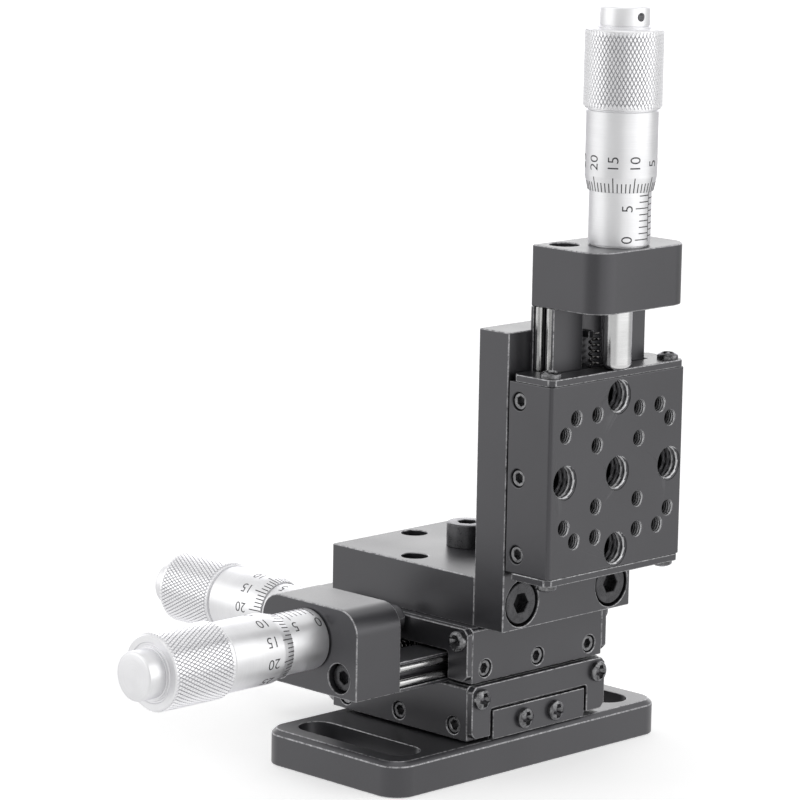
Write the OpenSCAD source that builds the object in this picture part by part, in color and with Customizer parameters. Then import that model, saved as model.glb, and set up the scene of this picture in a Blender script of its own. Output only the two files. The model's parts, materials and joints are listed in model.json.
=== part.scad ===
// XYZ positioning stage: three ball-guided linear stages on a slotted base plate.
// Each stage is driven by its own micrometer head, and a bracket carries the upright one.
// Row frame: origin under the centre of the base plate, X along the fronts, Y into the depth, Z up.
// Stage frame: x along the travel towards the micrometer, y across, z up from the mounting plane.

/* [Base plate] */
// base plate length along X
base_w = 64; // [50:0.5:90]
// base plate depth along Y
base_d = 31.5; // [28:0.5:60]
// base plate thickness
base_t = 5.9; // [4:0.1:10]
// base plate corner radius
base_r = 4; // [1:0.5:8]
// base plate top edge chamfer
base_chamfer = 0.8; // [0.2:0.1:2]
// distance between the two fixing slots
slot_pitch = 50; // [40:0.5:70]
// fixing slot width
slot_w = 6.6; // [4:0.1:8]
// fixing slot length, end to end
slot_l = 25.6; // [12:0.2:26]

/* [Stage body] */
// carriage width across the travel
stage_w = 32; // [30:0.2:40]
// carriage length along the travel, without end plates
carriage_l = 31.2; // [30:0.2:40]
// height from the mounting plane to the carriage top
stage_h = 9.6; // [9:0.1:14]
// travel each way from the middle
travel = 6.5; // [3:0.5:6.5]
// gap between the carriage skirts and the mounting plane
skirt_gap = 0.3; // [0.2:0.05:1]
// edge break on the carriage's long top edges
edge_break = 0.5; // [0.1:0.1:1]
// rail base width
rail_w = 22; // [20:0.2:24]
// rail base height
rail_h = 5; // [4.8:0.1:6]
// gap between the rail base and the carriage ceiling
ceiling_gap = 0.45; // [0.2:0.05:1]
// spring channel width in the rail base
channel_w = 8.2; // [6:0.2:9]
// thickness left under the spring channel
channel_floor = 2.3; // [1.5:0.1:2.6]
// end plate thickness
end_t = 1.2; // [0.8:0.1:2]
// gap from the rail base up to the end plate cut-out
end_gap = 0.4; // [0.2:0.05:1]
// gap from the rail base to each side of the end plate cut-out
end_side_gap = 0.6; // [0.3:0.05:1]
// cut across the end plate corners
end_corner = 0.9; // [0.3:0.1:1.5]
// rounding of the end plate cut-out's inner corners
cut_r = 0.5; // [0.2:0.05:0.7]
// gap from the end plate legs to the mounting plane
end_foot = 0.8; // [0.4:0.1:2]
// rail cover thickness at the far end
cover_t = 1; // [0.6:0.1:2]
// gap under the rail cover
cover_lift = 0.05; // [0.05:0.05:0.2]

/* [Ball guide] */
// guide rod diameter
rod_d = 1.5; // [1:0.1:2]
// distance between the two rods on one side
rod_pitch = 2.4; // [2.2:0.1:3]
// height of the ball row above the mounting plane
ball_z = 2.55; // [2.4:0.05:3]
// ball diameter
ball_d = 2; // [1.5:0.1:2.4]
// play between balls and rods
ball_play = 0.03; // [0.01:0.01:0.08]
// balls in each row
ball_count = 5; // [3:1:6]
// distance between balls
ball_pitch = 4; // [3:0.5:5]
// ball cage strip thickness
cage_t = 0.4; // [0.3:0.05:0.6]
// length of the cage strip past its last ball
cage_margin = 0.8; // [0.5:0.1:1.2]
// cage strip edge below the rods' outer edges
cage_edge = 0.1; // [0.05:0.05:0.4]
// gap between the rails' inner walls across the ball row
row_gap = 1.1; // [1:0.05:1.4]

/* [Tapped holes] */
// side of the square of the large tapped holes
grid_pitch = 25; // [20:0.5:25]
// M6 thread core diameter
m6_core = 5; // [4.8:0.05:5.2]
// M3 thread core diameter
m3_core = 2.5; // [2.4:0.05:2.6]
// depth of the blind M3 holes
m3_depth = 3.2; // [2:0.1:3.6]
// depth of the blind M6 holes over the skirts
m6_depth = 3.7; // [2:0.1:3.9]
// preload screw diameter
preload_d = 3; // [2:0.5:3]
// preload screw spacing
preload_pitch = 12.5; // [8:0.5:13]
// preload screw hex socket width across flats
preload_hex = 1.5; // [1.2:0.1:1.8]
// preload screw depth below the carriage side
preload_sink = 0.3; // [0:0.1:0.5]
// solid tip of the preload screw, ahead of its socket
preload_tip = 0.8; // [0.5:0.1:1]

/* [Micrometer block] */
// distance from the stage centre to the block
block_x = 27.1; // [25:0.1:32]
// block thickness along the travel
block_t = 9.9; // [6:0.1:14]
// block height over the mounting plane
block_h = 14.6; // [14:0.1:18]
// block corner radius
block_r = 4; // [1:0.5:5]
// micrometer axis height below the carriage top
axis_drop = 1; // [0.8:0.1:2]
// block screw distance from the block's side
block_screw_edge = 4; // [3.8:0.1:5]
// block screw height over the mounting plane
block_screw_z = 3.2; // [2.8:0.1:3.6]
// depth of the block screw heads below the block face
block_sink = 1; // [0.2:0.1:2]

/* [Micrometer head] */
// spindle diameter
spindle_d = 4; // [3:0.5:5]
// mounting stem diameter
stem_d = 9; // [8:0.1:9.5]
// graduated sleeve diameter
sleeve_d = 9.95; // [9.4:0.05:10.4]
// sleeve length outside the block
sleeve_l = 18.5; // [16:0.5:20]
// reading at rest
reading = 7.54; // [6.6:0.01:8.5]
// distance from the block to the sleeve's zero line
zero_mark = 1.33; // [1:0.01:3]
// thimble diameter
thimble_d = 11.5; // [11:0.1:13]
// thimble diameter at its graduated edge
thimble_edge_d = 10.5; // [10.3:0.05:11]
// length of the graduated taper
taper_l = 2.35; // [1:0.05:4]
// thimble length up to the grip
thimble_l = 13.3; // [10:0.1:16]
// grip diameter
grip_d = 12.6; // [11.8:0.1:14]
// grip length
grip_l = 12.2; // [8:0.1:16]
// grip edge break
grip_chamfer = 0.4; // [0.1:0.05:0.5]
// room over the sleeve's end at the inner limit of travel
floor_gap = 1.2; // [0.5:0.1:2]
// depth of the spindle's end below the grip face
spindle_inset = 3; // [1:0.1:5]
// length of the spindle's rounded tip
tip_l = 0.95; // [0.3:0.05:1.5]
// end cap diameter
cap_d = 7.85; // [6:0.05:10]
// end cap height
cap_h = 3.3; // [2:0.1:5]
// width of the cap's foot flange past the cap
cap_flange = 0.2; // [0.1:0.05:0.5]
// cap foot flange height
cap_flange_h = 0.25; // [0.1:0.05:0.6]
// cap top edge break
cap_chamfer = 0.35; // [0.1:0.05:0.8]
// tommy hole diameter in the end cap
cap_hole_d = 1.2; // [0.8:0.1:1.6]
// tommy hole turn about the micrometer axis
cap_hole_turn = 8.5; // [0:0.5:90]
// running clearance on the radius between turning pieces
run_fit = 0.05; // [0.02:0.01:0.1]

/* [Return spring] */
// spring wire diameter
wire_d = 0.35; // [0.3:0.01:0.4]
// spring outer diameter
spring_d = 1.9; // [1.7:0.05:2.2]
// number of curls
curls = 26; // [20:1:28]
// curl pitch at rest
curl_pitch = 1; // [0.9:0.01:1.05]
// height of the spring axis over the mounting plane
spring_z = 3.8; // [3.6:0.05:3.9]
// start of the spring on the carriage side
spring_x = -3.6; // [-5:0.1:-3]
// spring post side
post_w = 1.2; // [0.8:0.1:1.5]

/* [Stage positions] */
// Y stage centre along X
y_stage_x = 1.6; // [-5:0.1:5]
// Y stage centre along Y
y_stage_y = 1.4; // [-3:0.1:3]
// X stage centre on the Y carriage, along X
x_stage_x = 0.2; // [-2:0.1:2]
// X stage centre on the Y carriage, along Y
x_stage_y = 0; // [-2:0.1:2]
// Z stage centre above the X carriage
z_stage_z = 25.9; // [20:0.1:40]

/* [Angle bracket] */
// bracket width along X
bracket_w = 30.6; // [28:0.2:32]
// upright plate thickness
upright_t = 6.5; // [5:0.1:10]
// upright plate height
upright_h = 49.1; // [40:0.1:70]
// foot thickness
foot_t = 8.2; // [6:0.1:12]
// foot length along Y
foot_l = 33; // [30:0.2:34]
// bracket centre against the X stage, along X
bracket_x = 1.2; // [-2:0.1:2]
// upright front face against the X stage centre, along Y
bracket_y = -21.15; // [-22:0.05:-20]
// Z stage centre against the bracket centre, along X
z_stage_x = 0.7; // [-1:0.1:1]
// upright screw distance from the bracket's side
upright_screw_edge = 4.5; // [4:0.1:6]
// upright screw height over the bracket's underside
upright_screw_z = 4.3; // [4.2:0.1:5]
// foot screw distance from the foot's rear edge
foot_screw_y = 15.6; // [14:0.1:18]
// foot screw distance from the foot's left edge
foot_screw_x = 16.3; // [14:0.1:18]
// foot hole spacing from the screw
foot_hole_pitch = 12.5; // [10:0.1:13]
// clearance hole diameter in the foot
foot_hole_d = 4.5; // [4.3:0.1:5]

/* [Screws] */
// M4 thread core diameter
m4_core = 3.3; // [3.2:0.05:3.4]
// M4 clearance hole diameter
m4_clear = 4.2; // [4.1:0.05:4.5]
// depth of the upright's screw heads below its face
upright_sink = 0.2; // [0:0.1:1]
// M4 cap head diameter
m4_head_d = 7; // [6.5:0.1:7.5]
// M4 cap head height
m4_head_h = 4; // [3.5:0.1:4.5]
// M4 hex socket width across flats
m4_hex = 3; // [2.5:0.5:4]
// counterbore clearance around a cap head
bore_gap = 0.4; // [0.2:0.05:0.8]
// M2.5 thread core diameter
m25_core = 2.05; // [2:0.05:2.2]
// M2.5 cap head diameter
m25_head_d = 4.5; // [4:0.1:5]
// M2.5 cap head height
m25_head_h = 2.5; // [2:0.1:3]
// M2.5 hex socket width across flats
m25_hex = 2; // [1.5:0.5:3]
// M2 thread core diameter
m2_core = 1.6; // [1.5:0.05:1.7]
// M2 pan head diameter
m2_head_d = 3.5; // [3:0.1:4]
// M2 pan head height
m2_head_h = 1.1; // [0.8:0.1:1.4]
// clearance of a screw in its tapped core, on the radius
core_gap = 0.02; // [0.01:0.01:0.05]
// room left ahead of a screw's or a stem's end
tip_gap = 0.5; // [0.2:0.1:1]
// clearance hole allowance over the core diameter
through_gap = 0.6; // [0.4:0.1:1.2]
// end plate screw distance from the carriage side
end_screw_edge = 2; // [1.8:0.1:2.5]
// end plate screw depth below the carriage top
end_screw_z = 2.2; // [2:0.1:2.4]
// cover screw spacing
cover_screw_pitch = 7.4; // [6:0.1:8]

/* [Colours] */
// black anodised aluminium
black_c = [0.13, 0.13, 0.14]; // [0:0.01:1]
// satin chrome
chrome_c = [0.78, 0.78, 0.78]; // [0:0.01:1]
// ground steel
steel_c = [0.7, 0.7, 0.7]; // [0:0.01:1]
// blackened screw steel
dark_c = [0.2, 0.2, 0.2]; // [0:0.01:1]
// ball cage polymer
cage_c = [0.75, 0.7, 0.55]; // [0:0.01:1]

/* [Hidden] */
$fn = 64;

slack = 1;
weld = 0.1;
half_l = carriage_l / 2;
end_x = half_l + end_t;
ceiling = rail_h + ceiling_gap;
axis_z = stage_h - axis_drop;
rod_r = rod_d / 2;
ball_r = ball_d / 2;
row_reach = sqrt(pow(ball_r + rod_r, 2) - pow(rod_pitch / 2, 2));
row_y = rail_w / 2 + row_gap / 2;
inner_rod_y = row_y - row_reach;
outer_rod_y = row_y + row_reach;
cavity_y = rail_w / 2 + row_gap;
rod_floor = ball_z - rod_pitch / 2 - rod_r;
rod_roof = ball_z + rod_pitch / 2 + rod_r;
rail_back = end_x - cover_t;
block_end = block_x + block_t;
edge_x = block_end + zero_mark + reading;
grip_x = edge_x + thimble_l;
grip_end = grip_x + grip_l;
thimble_floor = block_end + sleeve_l + travel + floor_gap;
spindle_end = grip_end - spindle_inset;
mean_r = (spring_d - wire_d) / 2;
leg_l = spring_d / 2 + wire_d;
spring_end = spring_x + curl_pitch * (curls - 0.25);
post_reach = 0.4;
channel_x = spring_x - travel - post_w;
m2_depth = 3;
end_screw_y = stage_w / 2 - end_screw_edge;
block_screw_y = rail_w / 2 - block_screw_edge;
upright_screw_x = bracket_w / 2 - upright_screw_edge;
m2_length = m2_depth - tip_gap;
m25_depth = 6;
head_sink = m25_head_h + block_sink;
m4_depth = 8;
m4_sink = m4_head_h + upright_sink;
x_level = base_t + stage_h;
top_level = base_t + 2 * stage_h;
x_centre = [y_stage_x + x_stage_x, y_stage_y + x_stage_y];
bracket_left = x_centre[0] + bracket_x - bracket_w / 2;
bracket_right = bracket_left + bracket_w;
foot_top = top_level + foot_t;
upright_top = top_level + upright_h;
upright_front = x_centre[1] + bracket_y;
upright_back = upright_front + upright_t;
foot_rear = upright_back + foot_l;
foot_screw = [bracket_left + foot_screw_x, foot_rear - foot_screw_y];
z_centre_x = bracket_left + bracket_w / 2 + z_stage_x;

// placement of the three stages
module on_y() {
  translate([y_stage_x, y_stage_y, base_t])
    rotate([0, 0, 90])
      children();
}
module on_x() {
  translate([x_centre[0], x_centre[1], x_level])
    rotate([0, 0, 180])
      children();
}
module on_z() {
  translate([z_centre_x, upright_front, top_level + z_stage_z])
    rotate([0, -90, 90])
      children();
}

// small shapes
module box(low, high) {
  translate(low)
    cube([high[0] - low[0], high[1] - low[1], high[2] - low[2]]);
}
// cylinder along the travel, from x0 to x1
module bar(x0, x1, radius, y, z) {
  translate([x0, y, z])
    rotate([0, 90, 0])
      cylinder(h = x1 - x0, r = radius);
}
// solid of revolution about the micrometer axis from [radius, x] points
module turned(profile) {
  translate([0, 0, axis_z])
    rotate([0, 90, 0])
      rotate_extrude()
        polygon(profile);
}
// cap screw along -z: the head sits on z = 0, the shank goes down
module cap_screw(core, head_d, head_h, hex, length) {
  difference() {
    union() {
      cylinder(h = head_h, d = head_d);
      translate([0, 0, -length])
        cylinder(h = length + slack / 2, r = core / 2 - core_gap);
    }
    translate([0, 0, head_h / 2])
      cylinder(h = head_h, d = hex / cos(30), $fn = 6);
  }
}
// pan head screw with a cross recess
module pan_screw(length) {
  difference() {
    union() {
      rotate_extrude()
        polygon([
          [0, 0], [m2_head_d / 2, 0], [m2_head_d / 2, m2_head_h * 0.45],
          [m2_head_d * 0.43, m2_head_h * 0.8], [m2_head_d * 0.3, m2_head_h], [0, m2_head_h]
        ]);
      translate([0, 0, -length])
        cylinder(h = length + m2_head_h / 4, r = m2_core / 2 - core_gap);
    }
    for (turn = [45, 135])
      rotate([0, 0, turn])
        translate([-m2_head_d * 0.29, -m2_head_d * 0.07, m2_head_h * 0.5])
          cube([m2_head_d * 0.58, m2_head_d * 0.14, m2_head_h]);
  }
}

// stage pieces, in the stage frame
module rail_base() {
  difference() {
    box([-rail_back, -rail_w / 2, 0], [block_x, rail_w / 2, rail_h]);
    box([channel_x, -channel_w / 2, channel_floor], [block_x + slack, channel_w / 2, rail_h + slack]);
    for (side = [-1, 1])
      mirror([0, side > 0 ? 0 : 1, 0]) {
        box([-rail_back - slack, inner_rod_y - rod_r, rod_floor], [block_x + slack, rail_w, rod_roof]);
        bar(block_x - m25_depth, block_x + slack, m25_core / 2, block_screw_y, block_screw_z);
        bar(-rail_back - slack, -rail_back + m2_depth, m2_core / 2, cover_screw_pitch / 2, rail_h / 2);
      }
  }
  box(
    [spring_end - post_w / 2, leg_l, channel_floor - weld],
    [spring_end + post_w / 2, leg_l + post_w, rail_h - weld]
  );
}
// two rods on each side, at distance y from the centre line
module rods(y, x0, x1) {
  for (side = [-1, 1])
    for (level = [-1, 1])
      bar(x0, x1, rod_r, side * y, ball_z + level * rod_pitch / 2);
}

module carriage_blank() {
  rotate([90, 0, 90])
    translate([0, 0, -half_l])
      linear_extrude(height = carriage_l)
        polygon([
          [-stage_w / 2, skirt_gap], [-cavity_y, skirt_gap],
          [-cavity_y, rod_floor], [-outer_rod_y - rod_r, rod_floor],
          [-outer_rod_y - rod_r, rod_roof], [-cavity_y, rod_roof],
          [-cavity_y, ceiling], [cavity_y, ceiling],
          [cavity_y, rod_roof], [outer_rod_y + rod_r, rod_roof],
          [outer_rod_y + rod_r, rod_floor], [cavity_y, rod_floor],
          [cavity_y, skirt_gap], [stage_w / 2, skirt_gap],
          [stage_w / 2, stage_h - edge_break], [stage_w / 2 - edge_break, stage_h],
          [-stage_w / 2 + edge_break, stage_h], [-stage_w / 2, stage_h - edge_break]
        ]);
}
module tapped(x, y, core, depth) {
  translate([x, y, stage_h - depth])
    cylinder(h = depth + slack, d = core);
}
module grid_holes() {
  half = grid_pitch / 2;
  top = stage_h - ceiling + slack;
  for (x = [-half, 0, half])
    tapped(x, 0, m6_core, top);
  for (y = [-half, half])
    tapped(0, y, m6_core, m6_depth);
  for (sx = [-1, 1])
    for (sy = [-1, 1]) {
      tapped(sx * half * 0.4, sy * half * 0.4, m3_core, m3_depth);
      tapped(sx * half * 0.8, sy * half * 0.4, m3_core, m3_depth);
      tapped(sx * half * 0.8, sy * half * 0.8, m3_core, m3_depth);
      tapped(sx * half * 0.6, sy * half, m3_core, m3_depth);
    }
}
module foot_tap() {
  tapped(x_centre[0] - foot_screw[0], x_centre[1] - foot_screw[1], m4_core, stage_h - ceiling + slack);
}
module carriage(pattern) {
  difference() {
    carriage_blank();
    if (pattern == "grid")
      grid_holes();
    if (pattern == "foot")
      foot_tap();
    for (place = [-1, 0, 1])
      translate([place * preload_pitch, outer_rod_y, ball_z])
        rotate([-90, 0, 0])
          cylinder(h = stage_w, r = preload_d / 2);
    for (end = [-1, 1])
      for (side = [-1, 1])
        translate([end * (half_l - m2_depth), side * end_screw_y, stage_h - end_screw_z])
          rotate([0, end * 90, 0])
            cylinder(h = m2_depth + slack, d = m2_core);
  }
  box(
    [spring_x - post_w / 2, -leg_l - post_w, channel_floor + post_reach],
    [spring_x + post_w / 2, -leg_l, ceiling + weld]
  );
}

module preload_screws() {
  for (place = [-1, 0, 1])
    translate([place * preload_pitch, outer_rod_y + rod_r, ball_z])
      rotate([-90, 0, 0])
        difference() {
          cylinder(h = stage_w / 2 - preload_sink - outer_rod_y - rod_r, r = preload_d / 2 - core_gap);
          translate([0, 0, preload_tip])
            cylinder(h = stage_w, d = preload_hex / cos(30), $fn = 6);
        }
}

module end_plate() {
  cut_y = rail_w / 2 + end_side_gap;
  cut_z = rail_h + end_gap;
  rotate([90, 0, 90])
    linear_extrude(height = end_t)
      difference() {
        polygon([
          [-stage_w / 2, end_foot + end_corner], [-stage_w / 2 + end_corner, end_foot], [-cut_y, end_foot],
          for (angle = [0 : 18 : 90])
            [-cut_y + cut_r - cut_r * cos(angle), cut_z - cut_r + cut_r * sin(angle)],
          for (angle = [90 : -18 : 0])
            [cut_y - cut_r + cut_r * cos(angle), cut_z - cut_r + cut_r * sin(angle)],
          [cut_y, end_foot],
          [stage_w / 2 - end_corner, end_foot], [stage_w / 2, end_foot + end_corner],
          [stage_w / 2, stage_h - end_corner], [stage_w / 2 - end_corner, stage_h],
          [-stage_w / 2 + end_corner, stage_h], [-stage_w / 2, stage_h - end_corner]
        ]);
        for (side = [-1, 1])
          translate([side * end_screw_y, stage_h - end_screw_z])
            circle(d = m2_core + through_gap);
      }
}
module end_plates() {
  translate([half_l, 0, 0])
    end_plate();
  translate([-end_x, 0, 0])
    end_plate();
}
module end_screws() {
  for (end = [-1, 1])
    for (side = [-1, 1])
      translate([end * end_x, side * end_screw_y, stage_h - end_screw_z])
        rotate([0, end * 90, 0])
          pan_screw(end_t + m2_length);
}
module rail_cover() {
  difference() {
    box([-end_x, -rail_w / 2, cover_lift], [-rail_back, rail_w / 2, rail_h]);
    for (side = [-1, 1])
      bar(-end_x - slack, -rail_back + slack, (m2_core + through_gap) / 2,
        side * cover_screw_pitch / 2, rail_h / 2);
  }
}
module cover_screws() {
  for (side = [-1, 1])
    translate([-end_x, side * cover_screw_pitch / 2, rail_h / 2])
      rotate([0, -90, 0])
        pan_screw(cover_t + m2_length);
}

module balls() {
  for (side = [-1, 1])
    for (place = [0 : ball_count - 1])
      translate([(place - (ball_count - 1) / 2) * ball_pitch, side * row_y, ball_z])
        sphere(r = ball_r - ball_play);
}
module ball_cages() {
  span = (ball_count - 1) * ball_pitch / 2 + ball_r + cage_margin;
  for (side = [-1, 1])
    difference() {
      box(
        [-span, side * row_y - cage_t / 2, rod_floor + cage_edge],
        [span, side * row_y + cage_t / 2, rod_roof - cage_edge]
      );
      for (place = [0 : ball_count - 1])
        translate([(place - (ball_count - 1) / 2) * ball_pitch, side * row_y - slack, ball_z])
          rotate([-90, 0, 0])
            cylinder(h = 2 * slack, r = ball_r + run_fit);
    }
}

module mic_block() {
  difference() {
    union() {
      box([block_x, -rail_w / 2, 0], [block_end, rail_w / 2, block_h - block_r]);
      box([block_x, -rail_w / 2 + block_r, 0], [block_end, rail_w / 2 - block_r, block_h]);
      for (side = [-1, 1])
        bar(block_x, block_end, block_r, side * (rail_w / 2 - block_r), block_h - block_r);
    }
    bar(block_x - slack, block_end + slack, stem_d / 2, 0, axis_z);
    for (side = [-1, 1]) {
      bar(block_x - slack, block_end + slack, (m25_core + through_gap) / 2,
        side * block_screw_y, block_screw_z);
      bar(block_end - head_sink, block_end + slack, m25_head_d / 2 + bore_gap / 2,
        side * block_screw_y, block_screw_z);
    }
  }
}
module block_screws() {
  for (side = [-1, 1])
    translate([block_end - head_sink, side * block_screw_y, block_screw_z])
      rotate([0, 90, 0])
        cap_screw(m25_core, m25_head_d, m25_head_h, m25_hex, block_t - head_sink + m25_depth - tip_gap);
}

module sleeve() {
  turned([
    [spindle_d / 2 + run_fit, block_x + tip_gap], [stem_d / 2, block_x + tip_gap], [stem_d / 2, block_end],
    [sleeve_d / 2, block_end], [sleeve_d / 2, block_end + sleeve_l],
    [spindle_d / 2 + run_fit, block_end + sleeve_l]
  ]);
}
module spindle() {
  r = spindle_d / 2;
  turned([
    [0, end_x], [r * 0.3, end_x], [r * 0.58, end_x + tip_l * 0.13],
    [r * 0.75, end_x + tip_l * 0.37], [r, end_x + tip_l],
    [r, spindle_end], [0, spindle_end]
  ]);
}
module thimble() {
  bore = sleeve_d / 2 + run_fit;
  seat = spindle_d / 2 + run_fit;
  grip = grip_d / 2;
  turned([
    [bore, edge_x], [thimble_edge_d / 2, edge_x], [thimble_d / 2, edge_x + taper_l],
    [thimble_d / 2, grip_x], [grip - grip_chamfer, grip_x], [grip, grip_x + grip_chamfer],
    [grip, grip_end - grip_chamfer], [grip - grip_chamfer, grip_end], [0, grip_end],
    [0, spindle_end + tip_gap], [seat, spindle_end + tip_gap], [seat, thimble_floor], [bore, thimble_floor]
  ]);
}
module thimble_cap() {
  r = cap_d / 2;
  foot_r = r + cap_flange;
  foot_x = grip_end + cap_flange_h;
  top_x = grip_end + cap_h;
  difference() {
    turned([
      [0, grip_end], [foot_r, grip_end], [foot_r, foot_x], [r, foot_x + cap_flange],
      [r, top_x - cap_chamfer], [r - cap_chamfer, top_x], [0, top_x]
    ]);
    translate([grip_end + cap_h * 0.55, 0, axis_z])
      rotate([-cap_hole_turn, 0, 0])
        cylinder(h = cap_d, d = cap_hole_d);
  }
}

// return spring: one unbroken wire tube, a straight leg at each end
ring_steps = 8;
tube_sides = 6;
leg_steps = 3;
coil_steps = curls * ring_steps;
function ease(u) = u * u / 2;
function coil_x(i) =
  let (turn = i / ring_steps, quarter = curl_pitch / 4)
  turn < 0.25 ? spring_x + quarter * ease(turn * 4)
  : turn > curls - 0.25 ? spring_x + curl_pitch * (curls - 0.25) - quarter * ease((curls - turn) * 4)
  : spring_x + curl_pitch * (turn - 0.125);
function coil_point(i) =
  let (angle = i * 360 / ring_steps)
  [coil_x(i), mean_r * sin(angle), spring_z + mean_r * cos(angle)];
path = concat(
  [for (k = [0 : leg_steps - 1]) [coil_x(0), -leg_l * (leg_steps - k) / leg_steps, spring_z + mean_r]],
  [for (i = [0 : coil_steps]) coil_point(i)],
  [for (k = [1 : leg_steps]) [coil_x(coil_steps), leg_l * k / leg_steps, spring_z + mean_r]]
);
radial = concat(
  [for (k = [0 : leg_steps - 1]) [0, 0, 1]],
  [for (i = [0 : coil_steps]) [0, sin(i * 360 / ring_steps), cos(i * 360 / ring_steps)]],
  [for (k = [1 : leg_steps]) [0, 0, 1]]
);
last = len(path) - 1;
function unit(v) = v / norm(v);
function along(i) =
  i <= leg_steps - 1 || i >= last - leg_steps + 1 ? [0, 1, 0]
  : unit(path[i + 1] - path[i - 1]);
function ring(i) =
  let (t = along(i), n = unit(radial[i] - t * (radial[i] * t)), b = cross(t, n))
  [for (k = [0 : tube_sides - 1])
    path[i] + wire_d / 2 * (cos(k * 360 / tube_sides) * n + sin(k * 360 / tube_sides) * b)];
function gap_from(i) = min([for (j = [i + ring_steps / 2 : last]) norm(path[j] - path[i])]);
least_gap = min([for (i = [0 : last - ring_steps / 2]) gap_from(i)]) - wire_d;
echo(spring_least_gap = least_gap);
module spring() {
  points = [for (i = [0 : last]) each ring(i)];
  sides = [for (i = [0 : last - 1]) for (k = [0 : tube_sides - 1])
    let (a = i * tube_sides + k, b = i * tube_sides + (k + 1) % tube_sides)
    each [[a, a + tube_sides, b], [b, a + tube_sides, b + tube_sides]]];
  start_cap = [for (k = [1 : tube_sides - 2]) [0, k, k + 1]];
  tail = last * tube_sides;
  end_cap = [for (k = [1 : tube_sides - 2]) [tail, tail + k + 1, tail + k]];
  polyhedron(points = points, faces = concat(sides, start_cap, end_cap));
}

// base plate and angle bracket
module slot_cut(x) {
  reach = (slot_l - slot_w) / 2;
  for (end = [-1, 1])
    translate([x, end * reach, -slack])
      cylinder(h = base_t + 2 * slack, d = slot_w);
  box([x - slot_w / 2, -reach, -slack], [x + slot_w / 2, reach, base_t + slack]);
}
module rounded_plate(w, d, r, z0, z1) {
  box([-w / 2 + r, -d / 2, z0], [w / 2 - r, d / 2, z1]);
  box([-w / 2, -d / 2 + r, z0], [w / 2, d / 2 - r, z1]);
  for (sx = [-1, 1])
    for (sy = [-1, 1])
      translate([sx * (w / 2 - r), sy * (d / 2 - r), z0])
        cylinder(h = z1 - z0, r = r);
}
module base_plate() {
  color(black_c)
    difference() {
      union() {
        rounded_plate(base_w, base_d, base_r, 0, base_t - base_chamfer);
        box([-base_w / 2 + base_r, -base_d / 2 + base_chamfer, base_chamfer],
          [base_w / 2 - base_r, base_d / 2 - base_chamfer, base_t]);
        box([-base_w / 2 + base_chamfer, -base_d / 2 + base_r, base_chamfer],
          [base_w / 2 - base_chamfer, base_d / 2 - base_r, base_t]);
        for (angle = [0, 180])
          rotate([0, 0, angle]) {
            translate([-base_w / 2 + base_r, -base_d / 2 + base_chamfer, base_t - base_chamfer])
              edge_wedge(base_w - 2 * base_r);
            translate([base_w / 2 - base_chamfer, -base_d / 2 + base_r, base_t - base_chamfer])
              rotate([0, 0, 90])
                edge_wedge(base_d - 2 * base_r);
          }
        for (sx = [-1, 1])
          for (sy = [-1, 1])
            translate([sx * (base_w / 2 - base_r), sy * (base_d / 2 - base_r), base_t - base_chamfer])
              cylinder(h = base_chamfer, r1 = base_r, r2 = base_r - base_chamfer);
      }
      slot_cut(-slot_pitch / 2);
      slot_cut(slot_pitch / 2);
    }
}
// triangular prism along x that finishes a chamfered edge
module edge_wedge(length) {
  rotate([90, 0, 90])
    linear_extrude(height = length)
      polygon([[-base_chamfer, 0], [weld, 0], [weld, base_chamfer], [0, base_chamfer]]);
}

module bracket_foot() {
  color(black_c)
    difference() {
      box([bracket_left, upright_back, top_level], [bracket_right, foot_rear, foot_top]);
      for (place = [[0, 0], [-1, 0], [1, 0], [0, 1], [0, -1]])
        translate([
          foot_screw[0] + place[0] * foot_hole_pitch,
          foot_screw[1] + place[1] * foot_hole_pitch, top_level - slack
        ])
          cylinder(h = foot_t + 2 * slack, d = foot_hole_d);
      for (side = [-1, 1])
        translate([
          bracket_left + bracket_w / 2 + side * upright_screw_x,
          upright_back - slack, top_level + upright_screw_z
        ])
          rotate([-90, 0, 0])
            cylinder(h = m4_depth + slack, d = m4_core);
    }
}
module bracket_upright() {
  color(black_c)
    difference() {
      box([bracket_left, upright_front, top_level], [bracket_right, upright_back, upright_top]);
      for (side = [-1, 1])
        translate([
          bracket_left + bracket_w / 2 + side * upright_screw_x,
          upright_front - slack, top_level + upright_screw_z
        ])
          rotate([-90, 0, 0]) {
            cylinder(h = upright_t + 2 * slack, d = m4_clear);
            cylinder(h = m4_sink + slack, r = m4_head_d / 2 + bore_gap);
          }
    }
}
module bracket_screws() {
  color(dark_c)
    for (side = [-1, 1])
      translate([
        bracket_left + bracket_w / 2 + side * upright_screw_x,
        upright_front + m4_sink, top_level + upright_screw_z
      ])
        rotate([90, 0, 0])
          cap_screw(m4_core, m4_head_d, m4_head_h, m4_hex, upright_t - m4_sink + m4_depth - tip_gap);
}
module foot_screw() {
  color(dark_c)
    translate([foot_screw[0], foot_screw[1], foot_top])
      cap_screw(m4_core, m4_head_d, m4_head_h, m4_hex, foot_t + stage_h - ceiling - tip_gap);
}

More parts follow.
